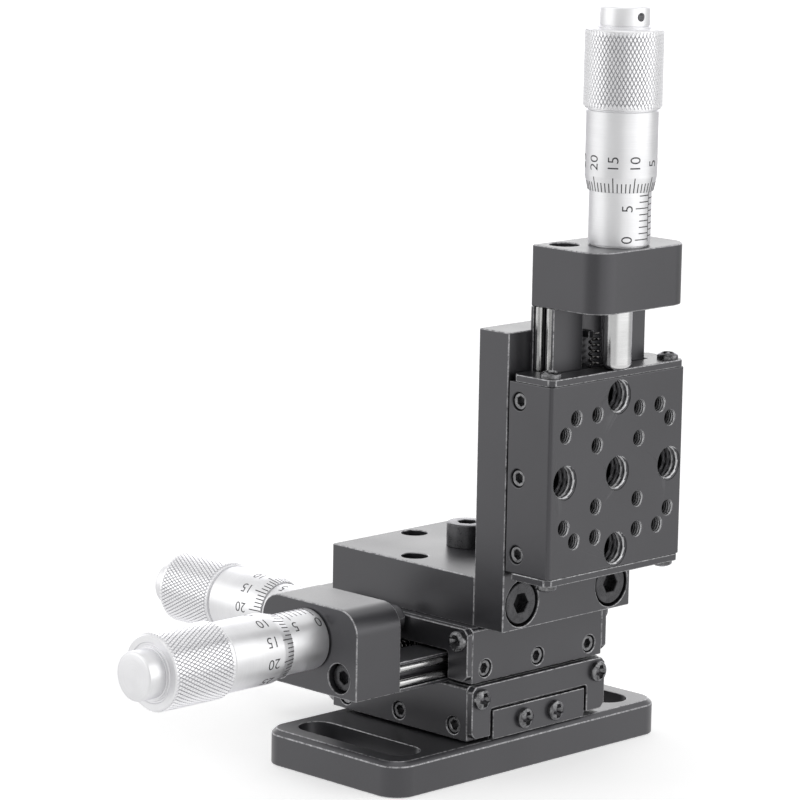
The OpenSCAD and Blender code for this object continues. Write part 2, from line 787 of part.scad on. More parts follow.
// Y stage
module y_rail_base() { color(black_c) on_y() rail_base(); }
module y_inner_rods() { color(steel_c) on_y() rods(inner_rod_y, -rail_back, block_x); }
module y_rail_cover() { color(black_c) on_y() rail_cover(); }
module y_cover_screws() { color(dark_c) on_y() cover_screws(); }
module y_carriage() { color(black_c) on_y() carriage("grid"); }
module y_outer_rods() { color(steel_c) on_y() rods(outer_rod_y, -half_l, half_l); }
module y_preload_screws() { color(dark_c) on_y() preload_screws(); }
module y_end_plates() { color(black_c) on_y() end_plates(); }
module y_end_screws() { color(dark_c) on_y() end_screws(); }
module y_balls() { color(steel_c) on_y() balls(); }
module y_ball_cages() { color(cage_c) on_y() ball_cages(); }
module y_mic_block() { color(black_c) on_y() mic_block(); }
module y_block_screws() { color(dark_c) on_y() block_screws(); }
module y_sleeve() { color(chrome_c) on_y() sleeve(); }
module y_spindle() { color(steel_c) on_y() spindle(); }
module y_thimble() { color(chrome_c) on_y() thimble(); }
module y_thimble_cap() { color(chrome_c) on_y() thimble_cap(); }
module y_spring() { color(steel_c) on_y() spring(); }

// X stage
module x_rail_base() { color(black_c) on_x() rail_base(); }
module x_inner_rods() { color(steel_c) on_x() rods(inner_rod_y, -rail_back, block_x); }
module x_rail_cover() { color(black_c) on_x() rail_cover(); }
module x_cover_screws() { color(dark_c) on_x() cover_screws(); }
module x_carriage() { color(black_c) on_x() carriage("foot"); }
module x_outer_rods() { color(steel_c) on_x() rods(outer_rod_y, -half_l, half_l); }
module x_preload_screws() { color(dark_c) on_x() preload_screws(); }
module x_end_plates() { color(black_c) on_x() end_plates(); }
module x_end_screws() { color(dark_c) on_x() end_screws(); }
module x_balls() { color(steel_c) on_x() balls(); }
module x_ball_cages() { color(cage_c) on_x() ball_cages(); }
module x_mic_block() { color(black_c) on_x() mic_block(); }
module x_block_screws() { color(dark_c) on_x() block_screws(); }
module x_sleeve() { color(chrome_c) on_x() sleeve(); }
module x_spindle() { color(steel_c) on_x() spindle(); }
module x_thimble() { color(chrome_c) on_x() thimble(); }
module x_thimble_cap() { color(chrome_c) on_x() thimble_cap(); }
module x_spring() { color(steel_c) on_x() spring(); }

// Z stage
module z_rail_base() { color(black_c) on_z() rail_base(); }
module z_inner_rods() { color(steel_c) on_z() rods(inner_rod_y, -rail_back, block_x); }
module z_rail_cover() { color(black_c) on_z() rail_cover(); }
module z_cover_screws() { color(dark_c) on_z() cover_screws(); }
module z_carriage() { color(black_c) on_z() carriage("grid"); }
module z_outer_rods() { color(steel_c) on_z() rods(outer_rod_y, -half_l, half_l); }
module z_preload_screws() { color(dark_c) on_z() preload_screws(); }
module z_end_plates() { color(black_c) on_z() end_plates(); }
module z_end_screws() { color(dark_c) on_z() end_screws(); }
module z_balls() { color(steel_c) on_z() balls(); }
module z_ball_cages() { color(cage_c) on_z() ball_cages(); }
module z_mic_block() { color(black_c) on_z() mic_block(); }
module z_block_screws() { color(dark_c) on_z() block_screws(); }
module z_sleeve() { color(chrome_c) on_z() sleeve(); }
module z_spindle() { color(steel_c) on_z() spindle(); }
module z_thimble() { color(chrome_c) on_z() thimble(); }
module z_thimble_cap() { color(chrome_c) on_z() thimble_cap(); }
module z_spring() { color(steel_c) on_z() spring(); }

base_plate();
bracket_foot();
bracket_upright();
bracket_screws();
foot_screw();
y_rail_base();
y_inner_rods();
y_rail_cover();
y_cover_screws();
y_carriage();
y_outer_rods();
y_preload_screws();
y_end_plates();
y_end_screws();
y_balls();
y_ball_cages();
y_mic_block();
y_block_screws();
y_sleeve();
y_spindle();
y_thimble();
y_thimble_cap();
y_spring();
x_rail_base();
x_inner_rods();
x_rail_cover();
x_cover_screws();
x_carriage();
x_outer_rods();
x_preload_screws();
x_end_plates();
x_end_screws();
x_balls();
x_ball_cages();
x_mic_block();
x_block_screws();
x_sleeve();
x_spindle();
x_thimble();
x_thimble_cap();
x_spring();
z_rail_base();
z_inner_rods();
z_rail_cover();
z_cover_screws();
z_carriage();
z_outer_rods();
z_preload_screws();
z_end_plates();
z_end_screws();
z_balls();
z_ball_cages();
z_mic_block();
z_block_screws();
z_sleeve();
z_spindle();
z_thimble();
z_thimble_cap();
z_spring();
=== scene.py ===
import json
import math

import bmesh
import bpy
from mathutils import Matrix, Vector


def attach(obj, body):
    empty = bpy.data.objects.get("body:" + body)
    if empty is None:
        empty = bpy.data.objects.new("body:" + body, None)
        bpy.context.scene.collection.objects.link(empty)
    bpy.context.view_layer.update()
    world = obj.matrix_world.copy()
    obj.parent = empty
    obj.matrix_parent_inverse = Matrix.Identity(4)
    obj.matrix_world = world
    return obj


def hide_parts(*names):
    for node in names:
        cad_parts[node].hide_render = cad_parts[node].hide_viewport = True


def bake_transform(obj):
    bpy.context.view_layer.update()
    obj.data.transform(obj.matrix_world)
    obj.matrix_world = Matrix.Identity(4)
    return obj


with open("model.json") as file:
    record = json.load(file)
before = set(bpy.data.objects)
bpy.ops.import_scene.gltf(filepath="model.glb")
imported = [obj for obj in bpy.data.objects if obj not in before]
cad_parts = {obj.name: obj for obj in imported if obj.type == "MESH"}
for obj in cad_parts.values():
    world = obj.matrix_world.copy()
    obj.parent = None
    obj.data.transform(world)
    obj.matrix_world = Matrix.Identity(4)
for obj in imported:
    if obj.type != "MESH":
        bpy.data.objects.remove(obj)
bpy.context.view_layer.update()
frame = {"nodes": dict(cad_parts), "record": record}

scene = bpy.context.scene
mm = 0.001
bodyOf = {node: body for body, nodes in frame["record"]["behaviour"]["bodies"].items() for node in nodes}

# each stage has its own frame, in mm: x along the travel to the micrometer, y across, z up from its mounting plane
# angles on a micrometer are degrees from the stage's z towards its -y
stages = {
    "y": {"origin": (1.6, 1.4, 5.9), "along": (0, 1, 0), "across": (-1, 0, 0), "up": (0, 0, 1),
          "rail": "base", "table": "y_table", "indexAngle": 31.0, "zeroAngle": 62.05, "capTurn": 150.0,
          "thimbleBack": 0.6},
    "x": {"origin": (1.8, 1.4, 15.5), "along": (-1, 0, 0), "across": (0, -1, 0), "up": (0, 0, 1),
          "rail": "y_table", "table": "x_table", "indexAngle": 5.4, "zeroAngle": 42.65, "capTurn": 165.0,
          "thimbleBack": 0.6},
    "z": {"origin": (3.7, -19.75, 51.0), "along": (0, 0, 1), "across": (-1, 0, 0), "up": (0, -1, 0),
          "rail": "x_table", "table": "z_table", "indexAngle": 14.9, "zeroAngle": 46.9, "capTurn": -8.5,
          "thimbleBack": 0.0},
}
micrometerHeight = 8.6


def stagePlace(letter):
    stage = stages[letter]
    turn = Matrix((stage["along"], stage["across"], stage["up"])).transposed().to_4x4()
    return Matrix.Translation(Vector(stage["origin"]) * mm) @ turn @ Matrix.Scale(mm, 4)


def thimblePlace(letter):
    return stagePlace(letter) @ Matrix.Translation((-stages[letter]["thimbleBack"], 0, 0))


# turns a solid about z into one about the micrometer axis
spindlePlace = Matrix.Translation((0, 0, micrometerHeight)) @ Matrix.Rotation(math.pi / 2, 4, "Y")
rowPlace = Matrix.Scale(mm, 4)
fullTurn = 2 * math.pi


# node helpers, for shader and geometry trees alike
def put(tree, kind, inputs=None, **settings):
    node = tree.nodes.new(kind)
    for key, value in settings.items():
        setattr(node, key, value)
    for key, value in (inputs or {}).items():
        value = getattr(value, "socket", value)
        if isinstance(value, bpy.types.NodeSocket):
            tree.links.new(value, node.inputs[key])
        else:
            node.inputs[key].default_value = value
    return node


def make(tree, kind, inputs=None, output=0, **settings):
    return nodeValue(tree, put(tree, kind, inputs, **settings).outputs[output])


def reckon(operation, turned=False):
    def run(first, *others):
        values = (*others, first) if turned else (first, *others)
        return make(first.tree, "ShaderNodeMath", dict(enumerate(values)), operation=operation)
    return run


# a node's output: arithmetic on it adds math nodes to its tree
class nodeValue:
    def __init__(self, tree, socket):
        self.tree, self.socket = tree, socket

    __add__, __radd__, __mul__ = reckon("ADD"), reckon("ADD", True), reckon("MULTIPLY")
    __sub__, __rsub__, __truediv__ = reckon("SUBTRACT"), reckon("SUBTRACT", True), reckon("DIVIDE")
    __mod__, __abs__, floor, fract = reckon("MODULO"), reckon("ABSOLUTE"), reckon("FLOOR"), reckon("FRACT")
    sine, cosine, arctan = reckon("SINE"), reckon("COSINE"), reckon("ARCTAN2")
    atLeast, atMost, compare = reckon("MAXIMUM"), reckon("MINIMUM"), reckon("COMPARE")


def triple(tree, x, y, z):
    return make(tree, "ShaderNodeCombineXYZ", {0: x, 1: y, 2: z})


def parts(tree, vector):
    return [nodeValue(tree, socket) for socket in put(tree, "ShaderNodeSeparateXYZ", {0: vector}).outputs]


def noise(tree, place, size, detail=3.0):
    return make(tree, "ShaderNodeTexNoise", {"Vector": place, "Scale": size, "Detail": detail})


def mapped(tree, value, source, target=(0.0, 1.0), kind="LINEAR"):
    return make(tree, "ShaderNodeMapRange", {"Value": value, "From Min": source[0], "From Max": source[1],
                                             "To Min": target[0], "To Max": target[1]}, interpolation_type=kind)


def colorRamp(tree, level, stops):
    ramp = put(tree, "ShaderNodeValToRGB", {"Fac": level})
    elements = ramp.color_ramp.elements
    while len(elements) < len(stops):
        elements.new(0.6)
    for number, (spot, color) in enumerate(stops):
        elements[number].position = spot
        elements[number].color = (*color, 1)
    return nodeValue(tree, ramp.outputs["Color"])


# metals and blacks: colour and roughness run between two ends over soft patches and a fine grain
finishes = {
    "blackAnodised": {"low": (0.016, 0.016, 0.018), "high": (0.026, 0.026, 0.029), "metallic": 0.0, "ior": 1.75,
                      "roughness": (0.30, 0.38), "patch": 60, "grain": 5200, "bump": 0.06},
    "screwBlack": {"low": (0.03, 0.03, 0.032), "high": (0.075, 0.075, 0.078), "metallic": 0.5, "ior": 1.7,
                   "roughness": (0.24, 0.36), "patch": 900, "grain": 4000, "bump": 0.05},
    "panHeadSteel": {"low": (0.05, 0.05, 0.052), "high": (0.24, 0.24, 0.245), "metallic": 0.85, "ior": 1.6,
                     "roughness": (0.14, 0.24), "patch": 1100, "grain": 4200, "bump": 0.04},
    # the edges' colour is lighter than the body's: a painted highlight along the bevels
    "edgeHighlight": {"low": (0.07, 0.07, 0.073), "high": (0.48, 0.48, 0.49), "metallic": 0.5, "ior": 1.8,
                   "roughness": (0.28, 0.42), "patch": 1400, "grain": 5200, "bump": 0.05},
    "setScrewSteel": {"low": (0.12, 0.12, 0.124), "high": (0.28, 0.28, 0.285), "metallic": 0.9, "ior": 1.6,
                      "roughness": (0.22, 0.34), "patch": 1200, "grain": 4500, "bump": 0.04},
    "groundSteel": {"low": (0.42, 0.42, 0.42), "high": (0.56, 0.56, 0.55), "metallic": 1.0, "ior": 1.5,
                    "roughness": (0.16, 0.26), "patch": 400, "grain": 3000, "bump": 0.03},
    # the spring wire is darker than bare steel: painted shade for the dark channel it runs in
    "shadedSpringWire": {"low": (0.13, 0.127, 0.124), "high": (0.24, 0.234, 0.228), "metallic": 1.0, "ior": 1.5,
                   "roughness": (0.22, 0.34), "patch": 1500, "grain": 4000, "bump": 0.03},
    "cagePolymer": {"low": (0.46, 0.38, 0.22), "high": (0.56, 0.47, 0.28), "metallic": 0.0, "ior": 1.5,
                    "roughness": (0.45, 0.6), "patch": 700, "grain": 3000, "bump": 0.05},
    "enamelBlack": {"low": (0.022, 0.022, 0.023), "high": (0.05, 0.05, 0.052), "metallic": 0.0, "ior": 1.5,
                    "roughness": (0.5, 0.65), "patch": 2500, "grain": 6000, "bump": 0.04},
}
# turned metals: fine lines round the piece
turnedFinishes = {
    "satinChrome": {"low": (0.73, 0.73, 0.74), "high": (0.82, 0.82, 0.83), "roughness": (0.34, 0.42),
                    "metallic": 0.86, "ior": 1.5, "lines": 22, "bump": 0.03},
    "spindleSteel": {"low": (0.6, 0.6, 0.6), "high": (0.72, 0.72, 0.72), "roughness": (0.15, 0.22),
                     "metallic": 1.0, "ior": 1.5, "lines": 16, "bump": 0.04},
}


grainShares = {"patch": 0.65, "grain": 0.35, "span": (0.36, 0.64), "bumpDistance": 0.00002}
turningShares = {"around": 3.0, "cloudSize": 180, "lines": 0.5, "cloud": 0.5, "colorSpan": (0.38, 0.62),
                 "roughSpan": (0.35, 0.65)}
# the knurl's colour follows its teeth's height: painted shade dark in its grooves, bright on the teeth's tops
knurlShadeAndWear = {"stops": ((0.12, (0.27, 0.27, 0.275)), (0.4, (0.76, 0.76, 0.77)), (0.8, (0.88, 0.88, 0.89))),
             "metallic": 0.86, "ior": 1.5, "wearSize": 700, "wear": 0.25, "roughness": (0.5, 0.3)}
# the walls of the tapped holes are bright at the mouth and go dark with depth as painted shade; depth runs along y
tappedDepthShade = {"stops": ((0.25, (0.6, 0.6, 0.61)), (1.0, (0.014, 0.014, 0.015))), "metallic": 0.7, "ior": 1.6,
              "mouthY": -0.0294, "shadeFade": 0.0028, "grainSize": 3000, "grain": 0.3, "roughness": (0.16, 0.32)}


specularTint = (0.965, 0.955, 1.0, 1)


def newMaterial(name, look):
    material = bpy.data.materials.new(name)
    material.use_nodes = True
    tree = material.node_tree
    shader = tree.nodes["Principled BSDF"]
    shader.inputs["Metallic"].default_value = look["metallic"]
    shader.inputs["IOR"].default_value = look["ior"]
    shader.inputs["Specular Tint"].default_value = specularTint
    return material, tree, shader


def finishShader(tree, shader, color, rough, height=None, strength=0.0):
    tree.links.new(color.socket, shader.inputs["Base Color"])
    tree.links.new(rough.socket, shader.inputs["Roughness"])
    if height:
        bump = make(tree, "ShaderNodeBump", {"Height": height, "Strength": strength,
                                             "Distance": grainShares["bumpDistance"]})
        tree.links.new(bump.socket, shader.inputs["Normal"])


def objectPlace(tree):
    return make(tree, "ShaderNodeTexCoord", output="Object")


def surfaceFinish(name, look):
    material, tree, shader = newMaterial(name, look)
    place, span = objectPlace(tree), grainShares["span"]
    patch, grain = noise(tree, place, look["patch"], detail=4.0), noise(tree, place, look["grain"], detail=2.0)
    blend = patch * grainShares["patch"] + grain * grainShares["grain"]
    finishShader(tree, shader, colorRamp(tree, blend, ((span[0], look["low"]), (span[1], look["high"]))),
                 mapped(tree, blend, span, look["roughness"]), grain, look["bump"])
    return material


# fine turning lines run round the piece: its UV is turns round, and mm along the outline
def turnedFinish(name, look):
    material, tree, shader = newMaterial(name, look)
    shares, span = turningShares, turningShares["colorSpan"]
    uv = make(tree, "ShaderNodeUVMap", uv_map="turned")
    scaled = make(tree, "ShaderNodeMapping", {"Vector": uv, "Scale": (shares["around"], look["lines"], 1.0)})
    lines = noise(tree, scaled, 1.0)
    cloud = noise(tree, objectPlace(tree), shares["cloudSize"])
    blend = lines * shares["lines"] + cloud * shares["cloud"]
    finishShader(tree, shader, colorRamp(tree, blend, ((span[0], look["low"]), (span[1], look["high"]))),
                 mapped(tree, lines, shares["roughSpan"], look["roughness"]), lines, look["bump"])
    return material


def knurlFinish(name, look):
    material, tree, shader = newMaterial(name, look)
    height = make(tree, "ShaderNodeAttribute", output="Fac", attribute_name="toothHeight")
    wear = noise(tree, objectPlace(tree), look["wearSize"]) - 0.5
    # painted shade: the knurl's low points take the dark end of the ramp
    level = height + wear * look["wear"]
    finishShader(tree, shader, colorRamp(tree, level, look["stops"]),
                 mapped(tree, level, (0.0, 1.0), look["roughness"]))
    return material


def tappedFinish(name, look):
    material, tree, shader = newMaterial(name, look)
    place = objectPlace(tree)
    # painted shade: the wall's colour darkens with its depth below the mouth
    share = (parts(tree, place)[1] - look["mouthY"]) / look["shadeFade"]
    grain = noise(tree, place, look["grainSize"], detail=2.0)
    level = share + grain * look["grain"]
    finishShader(tree, shader, colorRamp(tree, level, look["stops"]),
                 mapped(tree, grain, (0.0, 1.0), look["roughness"]))
    return material


materials = {name: surfaceFinish(name, look) for name, look in finishes.items()}
materials.update({name: turnedFinish(name, look) for name, look in turnedFinishes.items()})
materials["knurledChrome"] = knurlFinish("knurledChrome", knurlShadeAndWear)
materials["tappedWall"] = tappedFinish("tappedWall", tappedDepthShade)
print("finishes ready:", len(materials))


def link(name, mesh):
    piece = bpy.data.objects.new(name, mesh)
    scene.collection.objects.link(piece)
    return piece


# degrees: faces that meet more flatly than this are shaded as one curve
smoothTo = {"turned": 28, "grown": 30, "copies": 32, "fixing": 35, "ball": 60, "cap": 32, "knurl": 5, "figures": 30,
            "wire": 50, "edges": 11}


def shade(mesh, angle):
    for face in mesh.polygons:
        face.use_smooth = True
    mesh.set_sharp_from_angle(angle=math.radians(angle))


def evaluatedMesh(piece):
    return bpy.data.meshes.new_from_object(piece.evaluated_get(bpy.context.evaluated_depsgraph_get()))


# a body with broken edges brings its own slots, any other piece gets its one finish here
def dress(piece, finish, body, replaced=()):
    if len(piece.data.materials) < 2:
        piece.data.materials.clear()
        piece.data.materials.append(materials[finish])
    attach(piece, body)
    if replaced:
        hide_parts(*replaced)


def meshFrom(name, verts, faces):
    mesh = bpy.data.meshes.new(name)
    mesh.from_pydata(verts, [], faces)
    return mesh


# solid of revolution about z from [radius, height] points, first and last on the axis or the outline closed
def revolve(name, outline, steps, smooth=smoothTo["turned"]):
    closed = outline[0][0] > 0 and outline[-1][0] > 0
    rings = outline + outline[:1] if closed else outline
    bm = bmesh.new()
    uvLayer = bm.loops.layers.uv.new("turned")
    reach = [0.0]
    for (r0, h0), (r1, h1) in zip(rings, rings[1:]):
        reach.append(reach[-1] + math.hypot(r1 - r0, h1 - h0))
    made = []
    for index, (radius, height) in enumerate(rings):
        if closed and index == len(rings) - 1:
            made.append(made[0])
        elif radius < 1e-6:
            made.append([bm.verts.new((0, 0, height))] * steps)
        else:
            made.append([bm.verts.new((radius * math.cos(2 * math.pi * k / steps),
                                       radius * math.sin(2 * math.pi * k / steps), height)) for k in range(steps)])
    for row, (low, high) in enumerate(zip(made, made[1:])):
        for k in range(steps):
            j = (k + 1) % steps
            corners = [(low[k], k, row), (low[j], k + 1, row), (high[j], k + 1, row + 1), (high[k], k, row + 1)]
            kept = [c for i, c in enumerate(corners) if c[0] not in [d[0] for d in corners[:i]]]
            if len(kept) < 3:
                continue
            face = bm.faces.new([c[0] for c in kept])
            for loop, (vert, around, level) in zip(face.loops, kept):
                loop[uvLayer].uv = (around / steps, reach[level])
    bmesh.ops.recalc_face_normals(bm, faces=bm.faces)
    mesh = bpy.data.meshes.new(name)
    bm.to_mesh(mesh)
    bm.free()
    shade(mesh, smooth)
    return mesh


def carve(mesh, cutter):
    holder, tool = link("carved", mesh), link("cutter", cutter)
    modifier = holder.modifiers.new("cut", "BOOLEAN")
    modifier.operation, modifier.solver, modifier.object = "DIFFERENCE", "MANIFOLD", tool
    result = evaluatedMesh(holder)
    for spare in (holder, tool):
        bpy.data.objects.remove(spare)
    return result


edgeLook = {"foldAngle": 34, "segments": 2, "mergeDistance": 1e-6}


# a copy of a CAD node with its sharp edges broken, as a deburred and anodised part has them; the bevels take a lighter
# material as a painted highlight
def brokenEdges(node, width):
    bm = bmesh.new()
    bm.from_mesh(frame["nodes"][node].data)
    for layer in list(bm.loops.layers.uv):
        bm.loops.layers.uv.remove(layer)
    bmesh.ops.remove_doubles(bm, verts=bm.verts, dist=edgeLook["mergeDistance"])
    mesh = bpy.data.meshes.new(node + "_broken")
    bm.to_mesh(mesh)
    bm.free()
    mesh.materials.clear()
    for finish in ("blackAnodised", "edgeHighlight"):
        mesh.materials.append(materials[finish])
    holder = link(node + "_body", mesh)
    modifier = holder.modifiers.new("edges", "BEVEL")
    modifier.limit_method, modifier.angle_limit = "ANGLE", math.radians(edgeLook["foldAngle"])
    # the bevel faces take the second slot, the painted edge highlight
    modifier.width, modifier.segments, modifier.material = width * mm, edgeLook["segments"], 1
    modifier.use_clamp_overlap = modifier.loop_slide = False
    result = evaluatedMesh(holder)
    holder.modifiers.clear()
    holder.data = result
    shade(result, smoothTo["edges"])
    return holder


# every tree takes its sizes and its material as named inputs, and ends in plain, painted mesh
def newTree(name, **inputs):
    tree = bpy.data.node_groups.new(name, "GeometryNodeTree")
    tree.interface.new_socket("Geometry", in_out="INPUT", socket_type="NodeSocketGeometry")
    for label, kind in inputs.items():
        tree.interface.new_socket(label, in_out="INPUT", socket_type="NodeSocket" + kind)
    tree.interface.new_socket("Material", in_out="INPUT", socket_type="NodeSocketMaterial")
    tree.interface.new_socket("Geometry", in_out="OUTPUT", socket_type="NodeSocketGeometry")
    entry = tree.nodes.new("NodeGroupInput")
    return tree, {socket.name: nodeValue(tree, socket) for socket in entry.outputs}


def closeTree(tree, geometry, material):
    solid = make(tree, "GeometryNodeRealizeInstances", {0: geometry})
    painted = make(tree, "GeometryNodeSetMaterial", {"Geometry": solid, "Material": material})
    put(tree, "NodeGroupOutput", {0: painted})
    return tree


def lineOf(tree, count):
    return make(tree, "GeometryNodeMeshLine", {"Count": count}), make(tree, "GeometryNodeInputIndex")


def movedTo(tree, geometry, x, y, z):
    return make(tree, "GeometryNodeSetPosition", {"Geometry": geometry, "Position": triple(tree, x, y, z)})


def copiesOn(tree, points, template, angle=None, **more):
    turn = {"Rotation": triple(tree, angle, 0.0, 0.0)} if angle else {}
    return make(tree, "GeometryNodeInstanceOnPoints", dict(more, Points=points, Instance=template, **turn))


def boxOf(tree, length, width, thick, **more):
    return make(tree, "GeometryNodeMeshCube", {"Size": triple(tree, length, width, thick), **more})


def ownPlace(tree):
    return parts(tree, make(tree, "GeometryNodeInputPosition"))


def everyFifth(number):
    return (number % 5.0).compare(0.0, 0.1)


def grow(name, tree, values, finish, place, mesh=None, smooth=smoothTo["grown"]):
    piece = link(name, mesh or bpy.data.meshes.new(name))
    modifier = piece.modifiers.new("shape", "NODES")
    modifier.node_group = tree
    given = dict(values, Material=materials[finish])
    for item in tree.interface.items_tree:
        if item.item_type == "SOCKET" and item.in_out == "INPUT" and item.name in given:
            modifier[item.identifier] = given[item.name]
    result = evaluatedMesh(piece)
    piece.modifiers.clear()
    piece.data = result
    result.transform(place)
    shade(result, smooth)
    return piece


# copies of a template on points, each turned so that its z follows the point's own direction
def placedTree():
    tree, given = newTree("placedCopies", Template="Object")
    template = make(tree, "GeometryNodeObjectInfo", {"Object": given["Template"]}, "Geometry")
    aim = make(tree, "GeometryNodeInputNamedAttribute", {"Name": "aim"}, data_type="FLOAT_VECTOR")
    turn = make(tree, "FunctionNodeAlignRotationToVector", {"Vector": aim}, axis="Z")
    return closeTree(tree, copiesOn(tree, given["Geometry"], template, Rotation=turn), given["Material"])


# diamond knurl: staggered rows of small flat-topped pyramids round the micrometer axis
def knurlTree():
    tree, given = newTree("diamondKnurl", Around="Int", Rows="Int", Start="Float", RowPitch="Float",
                          GrooveRadius="Float", ToothHeight="Float", ToothWidth="Float", TopShare="Float", Sink="Float",
                          AxisHeight="Float")
    deep = given["ToothHeight"] + given["Sink"]
    tooth = make(tree, "GeometryNodeMeshCone", {"Vertices": 4, "Radius Top": given["TopShare"], "Radius Bottom": 1.0,
                                                "Depth": deep})
    split = make(tree, "GeometryNodeSubdivideMesh", {"Mesh": tooth, "Level": 1})
    x, y, z = ownPlace(tree)
    # painted shade: the grooves are darkest where they cross, at the tooth's corners
    share = (z / deep).atLeast(abs(x * y) * 2.0)
    marked = make(tree, "GeometryNodeStoreNamedAttribute", {"Geometry": split, "Name": "toothHeight", "Value": share},
                  data_type="FLOAT", domain="POINT")
    shaped = make(tree, "GeometryNodeTransform", {
        "Geometry": marked, "Translation": triple(tree, 0.0, 0.0, given["GrooveRadius"] - given["Sink"]),
        "Scale": triple(tree, given["RowPitch"], given["ToothWidth"] * 0.5, 1.0)})
    line, index = lineOf(tree, given["Around"] * given["Rows"])
    row = (index / given["Around"]).floor()
    column = index % given["Around"] + row % 2.0 * 0.5
    points = movedTo(tree, line, given["Start"] + row * given["RowPitch"], 0.0, given["AxisHeight"])
    teeth = copiesOn(tree, points, shaped, column * fullTurn / given["Around"])
    return closeTree(tree, teeth, given["Material"])


# the thimble's divisions, every fifth one long, lying on its tapered edge
def thimbleScaleTree():
    tree, given = newTree("thimbleScale", Count="Int", ZeroAngle="Float", EdgeX="Float", EdgeRadius="Float",
                          Slope="Float", ShortLine="Float", LongLine="Float", LineWidth="Float", Proud="Float",
                          AxisHeight="Float")
    line, index = lineOf(tree, given["Count"])
    points = movedTo(tree, line, 0.0, 0.0, given["AxisHeight"])
    angle = given["ZeroAngle"] - index * fullTurn / given["Count"]
    fifth = everyFifth(index)
    joined = put(tree, "GeometryNodeJoinGeometry")
    for chosen, length in ((fifth, given["LongLine"]), (1.0 - fifth, given["ShortLine"])):
        mark = boxOf(tree, length, given["LineWidth"], given["Proud"] * 3.0)
        laid = make(tree, "GeometryNodeTransform", {
            "Geometry": mark, "Translation": triple(tree, length * 0.5, 0.0, given["Proud"] * -0.5)})
        tilted = make(tree, "GeometryNodeTransform", {
            "Geometry": laid, "Translation": triple(tree, given["EdgeX"], 0.0, given["EdgeRadius"]),
            "Rotation": triple(tree, 0.0, given["Slope"] * -1.0, 0.0)})
        ring = copiesOn(tree, points, tilted, angle, Selection=chosen)
        tree.links.new(ring.socket, joined.inputs[0])
    return closeTree(tree, joined.outputs[0], given["Material"])


# the sleeve's scale: millimetres on one side of the index line, halves on the other, bent round the sleeve
def sleeveScaleTree():
    tree, given = newTree("sleeveScale", Millimetres="Int", ZeroX="Float", IndexAngle="Float", Radius="Float",
                          ShortSpan="Float", LongSpan="Float", LineWidth="Float", Proud="Float", IndexStart="Float",
                          IndexLength="Float", AxisHeight="Float")
    line, index = lineOf(tree, given["Millimetres"] * 2.0 - 1.0)
    cube = boxOf(tree, given["LineWidth"], 1.0, given["Proud"], **{"Vertices Y": 9})
    marks = copiesOn(tree, movedTo(tree, line, 0.0, 0.0, 0.0), cube)
    numbered = make(tree, "GeometryNodeStoreNamedAttribute", {"Geometry": marks, "Name": "mark", "Value": index},
                    data_type="FLOAT", domain="INSTANCE")
    solid = make(tree, "GeometryNodeRealizeInstances", {0: numbered})
    mark = make(tree, "GeometryNodeInputNamedAttribute", {"Name": "mark"}, data_type="FLOAT")
    onMillimetre = 1.0 - mark % 2.0
    long = everyFifth(((mark + 0.1) * 0.5).floor()) * onMillimetre
    span = given["ShortSpan"] + long * (given["LongSpan"] - given["ShortSpan"])
    x, y, z = ownPlace(tree)
    angle = given["IndexAngle"] - span * onMillimetre + span * (0.5 - y)
    radius = given["Radius"] + z
    bent = movedTo(tree, solid, given["ZeroX"] + x + mark * 0.5, radius * -1.0 * angle.sine(),
                   given["AxisHeight"] + radius * angle.cosine())
    bar = boxOf(tree, given["IndexLength"], given["LineWidth"], given["Proud"])
    middle = given["IndexStart"] + given["IndexLength"] * 0.5
    raised = make(tree, "GeometryNodeTransform", {"Geometry": bar,
                                                  "Translation": triple(tree, middle, 0.0, given["Radius"])})
    turned = make(tree, "GeometryNodeTransform", {
        "Geometry": raised, "Rotation": triple(tree, given["IndexAngle"], 0.0, 0.0),
        "Translation": triple(tree, 0.0, 0.0, given["AxisHeight"])})
    joined = put(tree, "GeometryNodeJoinGeometry")
    for part in (bent, turned):
        tree.links.new(part.socket, joined.inputs[0])
    return closeTree(tree, joined.outputs[0], given["Material"])


# coil of round wire along x, its two ends led out sideways as straight legs
def springTree():
    tree, given = newTree("coilSpring", Curls="Int", Steps="Int", LegSteps="Int", StartX="Float", Pitch="Float",
                          MeanRadius="Float", WireRadius="Float", LegLength="Float", AxisHeight="Float")
    coil = given["Curls"] * given["Steps"]
    line, index = lineOf(tree, coil + given["LegSteps"] * 2.0 + 1.0)
    place = index - given["LegSteps"]
    wound = place.atMost(coil).atLeast(0.0)
    turn = wound / given["Steps"]
    leg = (place - wound) * given["LegLength"] / given["LegSteps"]
    angle = turn * fullTurn
    path = movedTo(tree, line, given["StartX"] + turn * given["Pitch"], given["MeanRadius"] * angle.sine() + leg,
                   given["AxisHeight"] + given["MeanRadius"] * angle.cosine())
    curve = make(tree, "GeometryNodeMeshToCurve", {"Mesh": path})
    ring = make(tree, "GeometryNodeCurvePrimitiveCircle", {"Resolution": 10, "Radius": given["WireRadius"]})
    wire = make(tree, "GeometryNodeCurveToMesh", {"Curve": curve, "Profile Curve": ring, "Fill Caps": True})
    return closeTree(tree, wire, given["Material"])


threadForm = {"steepness": 1.35, "root": 0.2, "turnsBelow": 40.0}


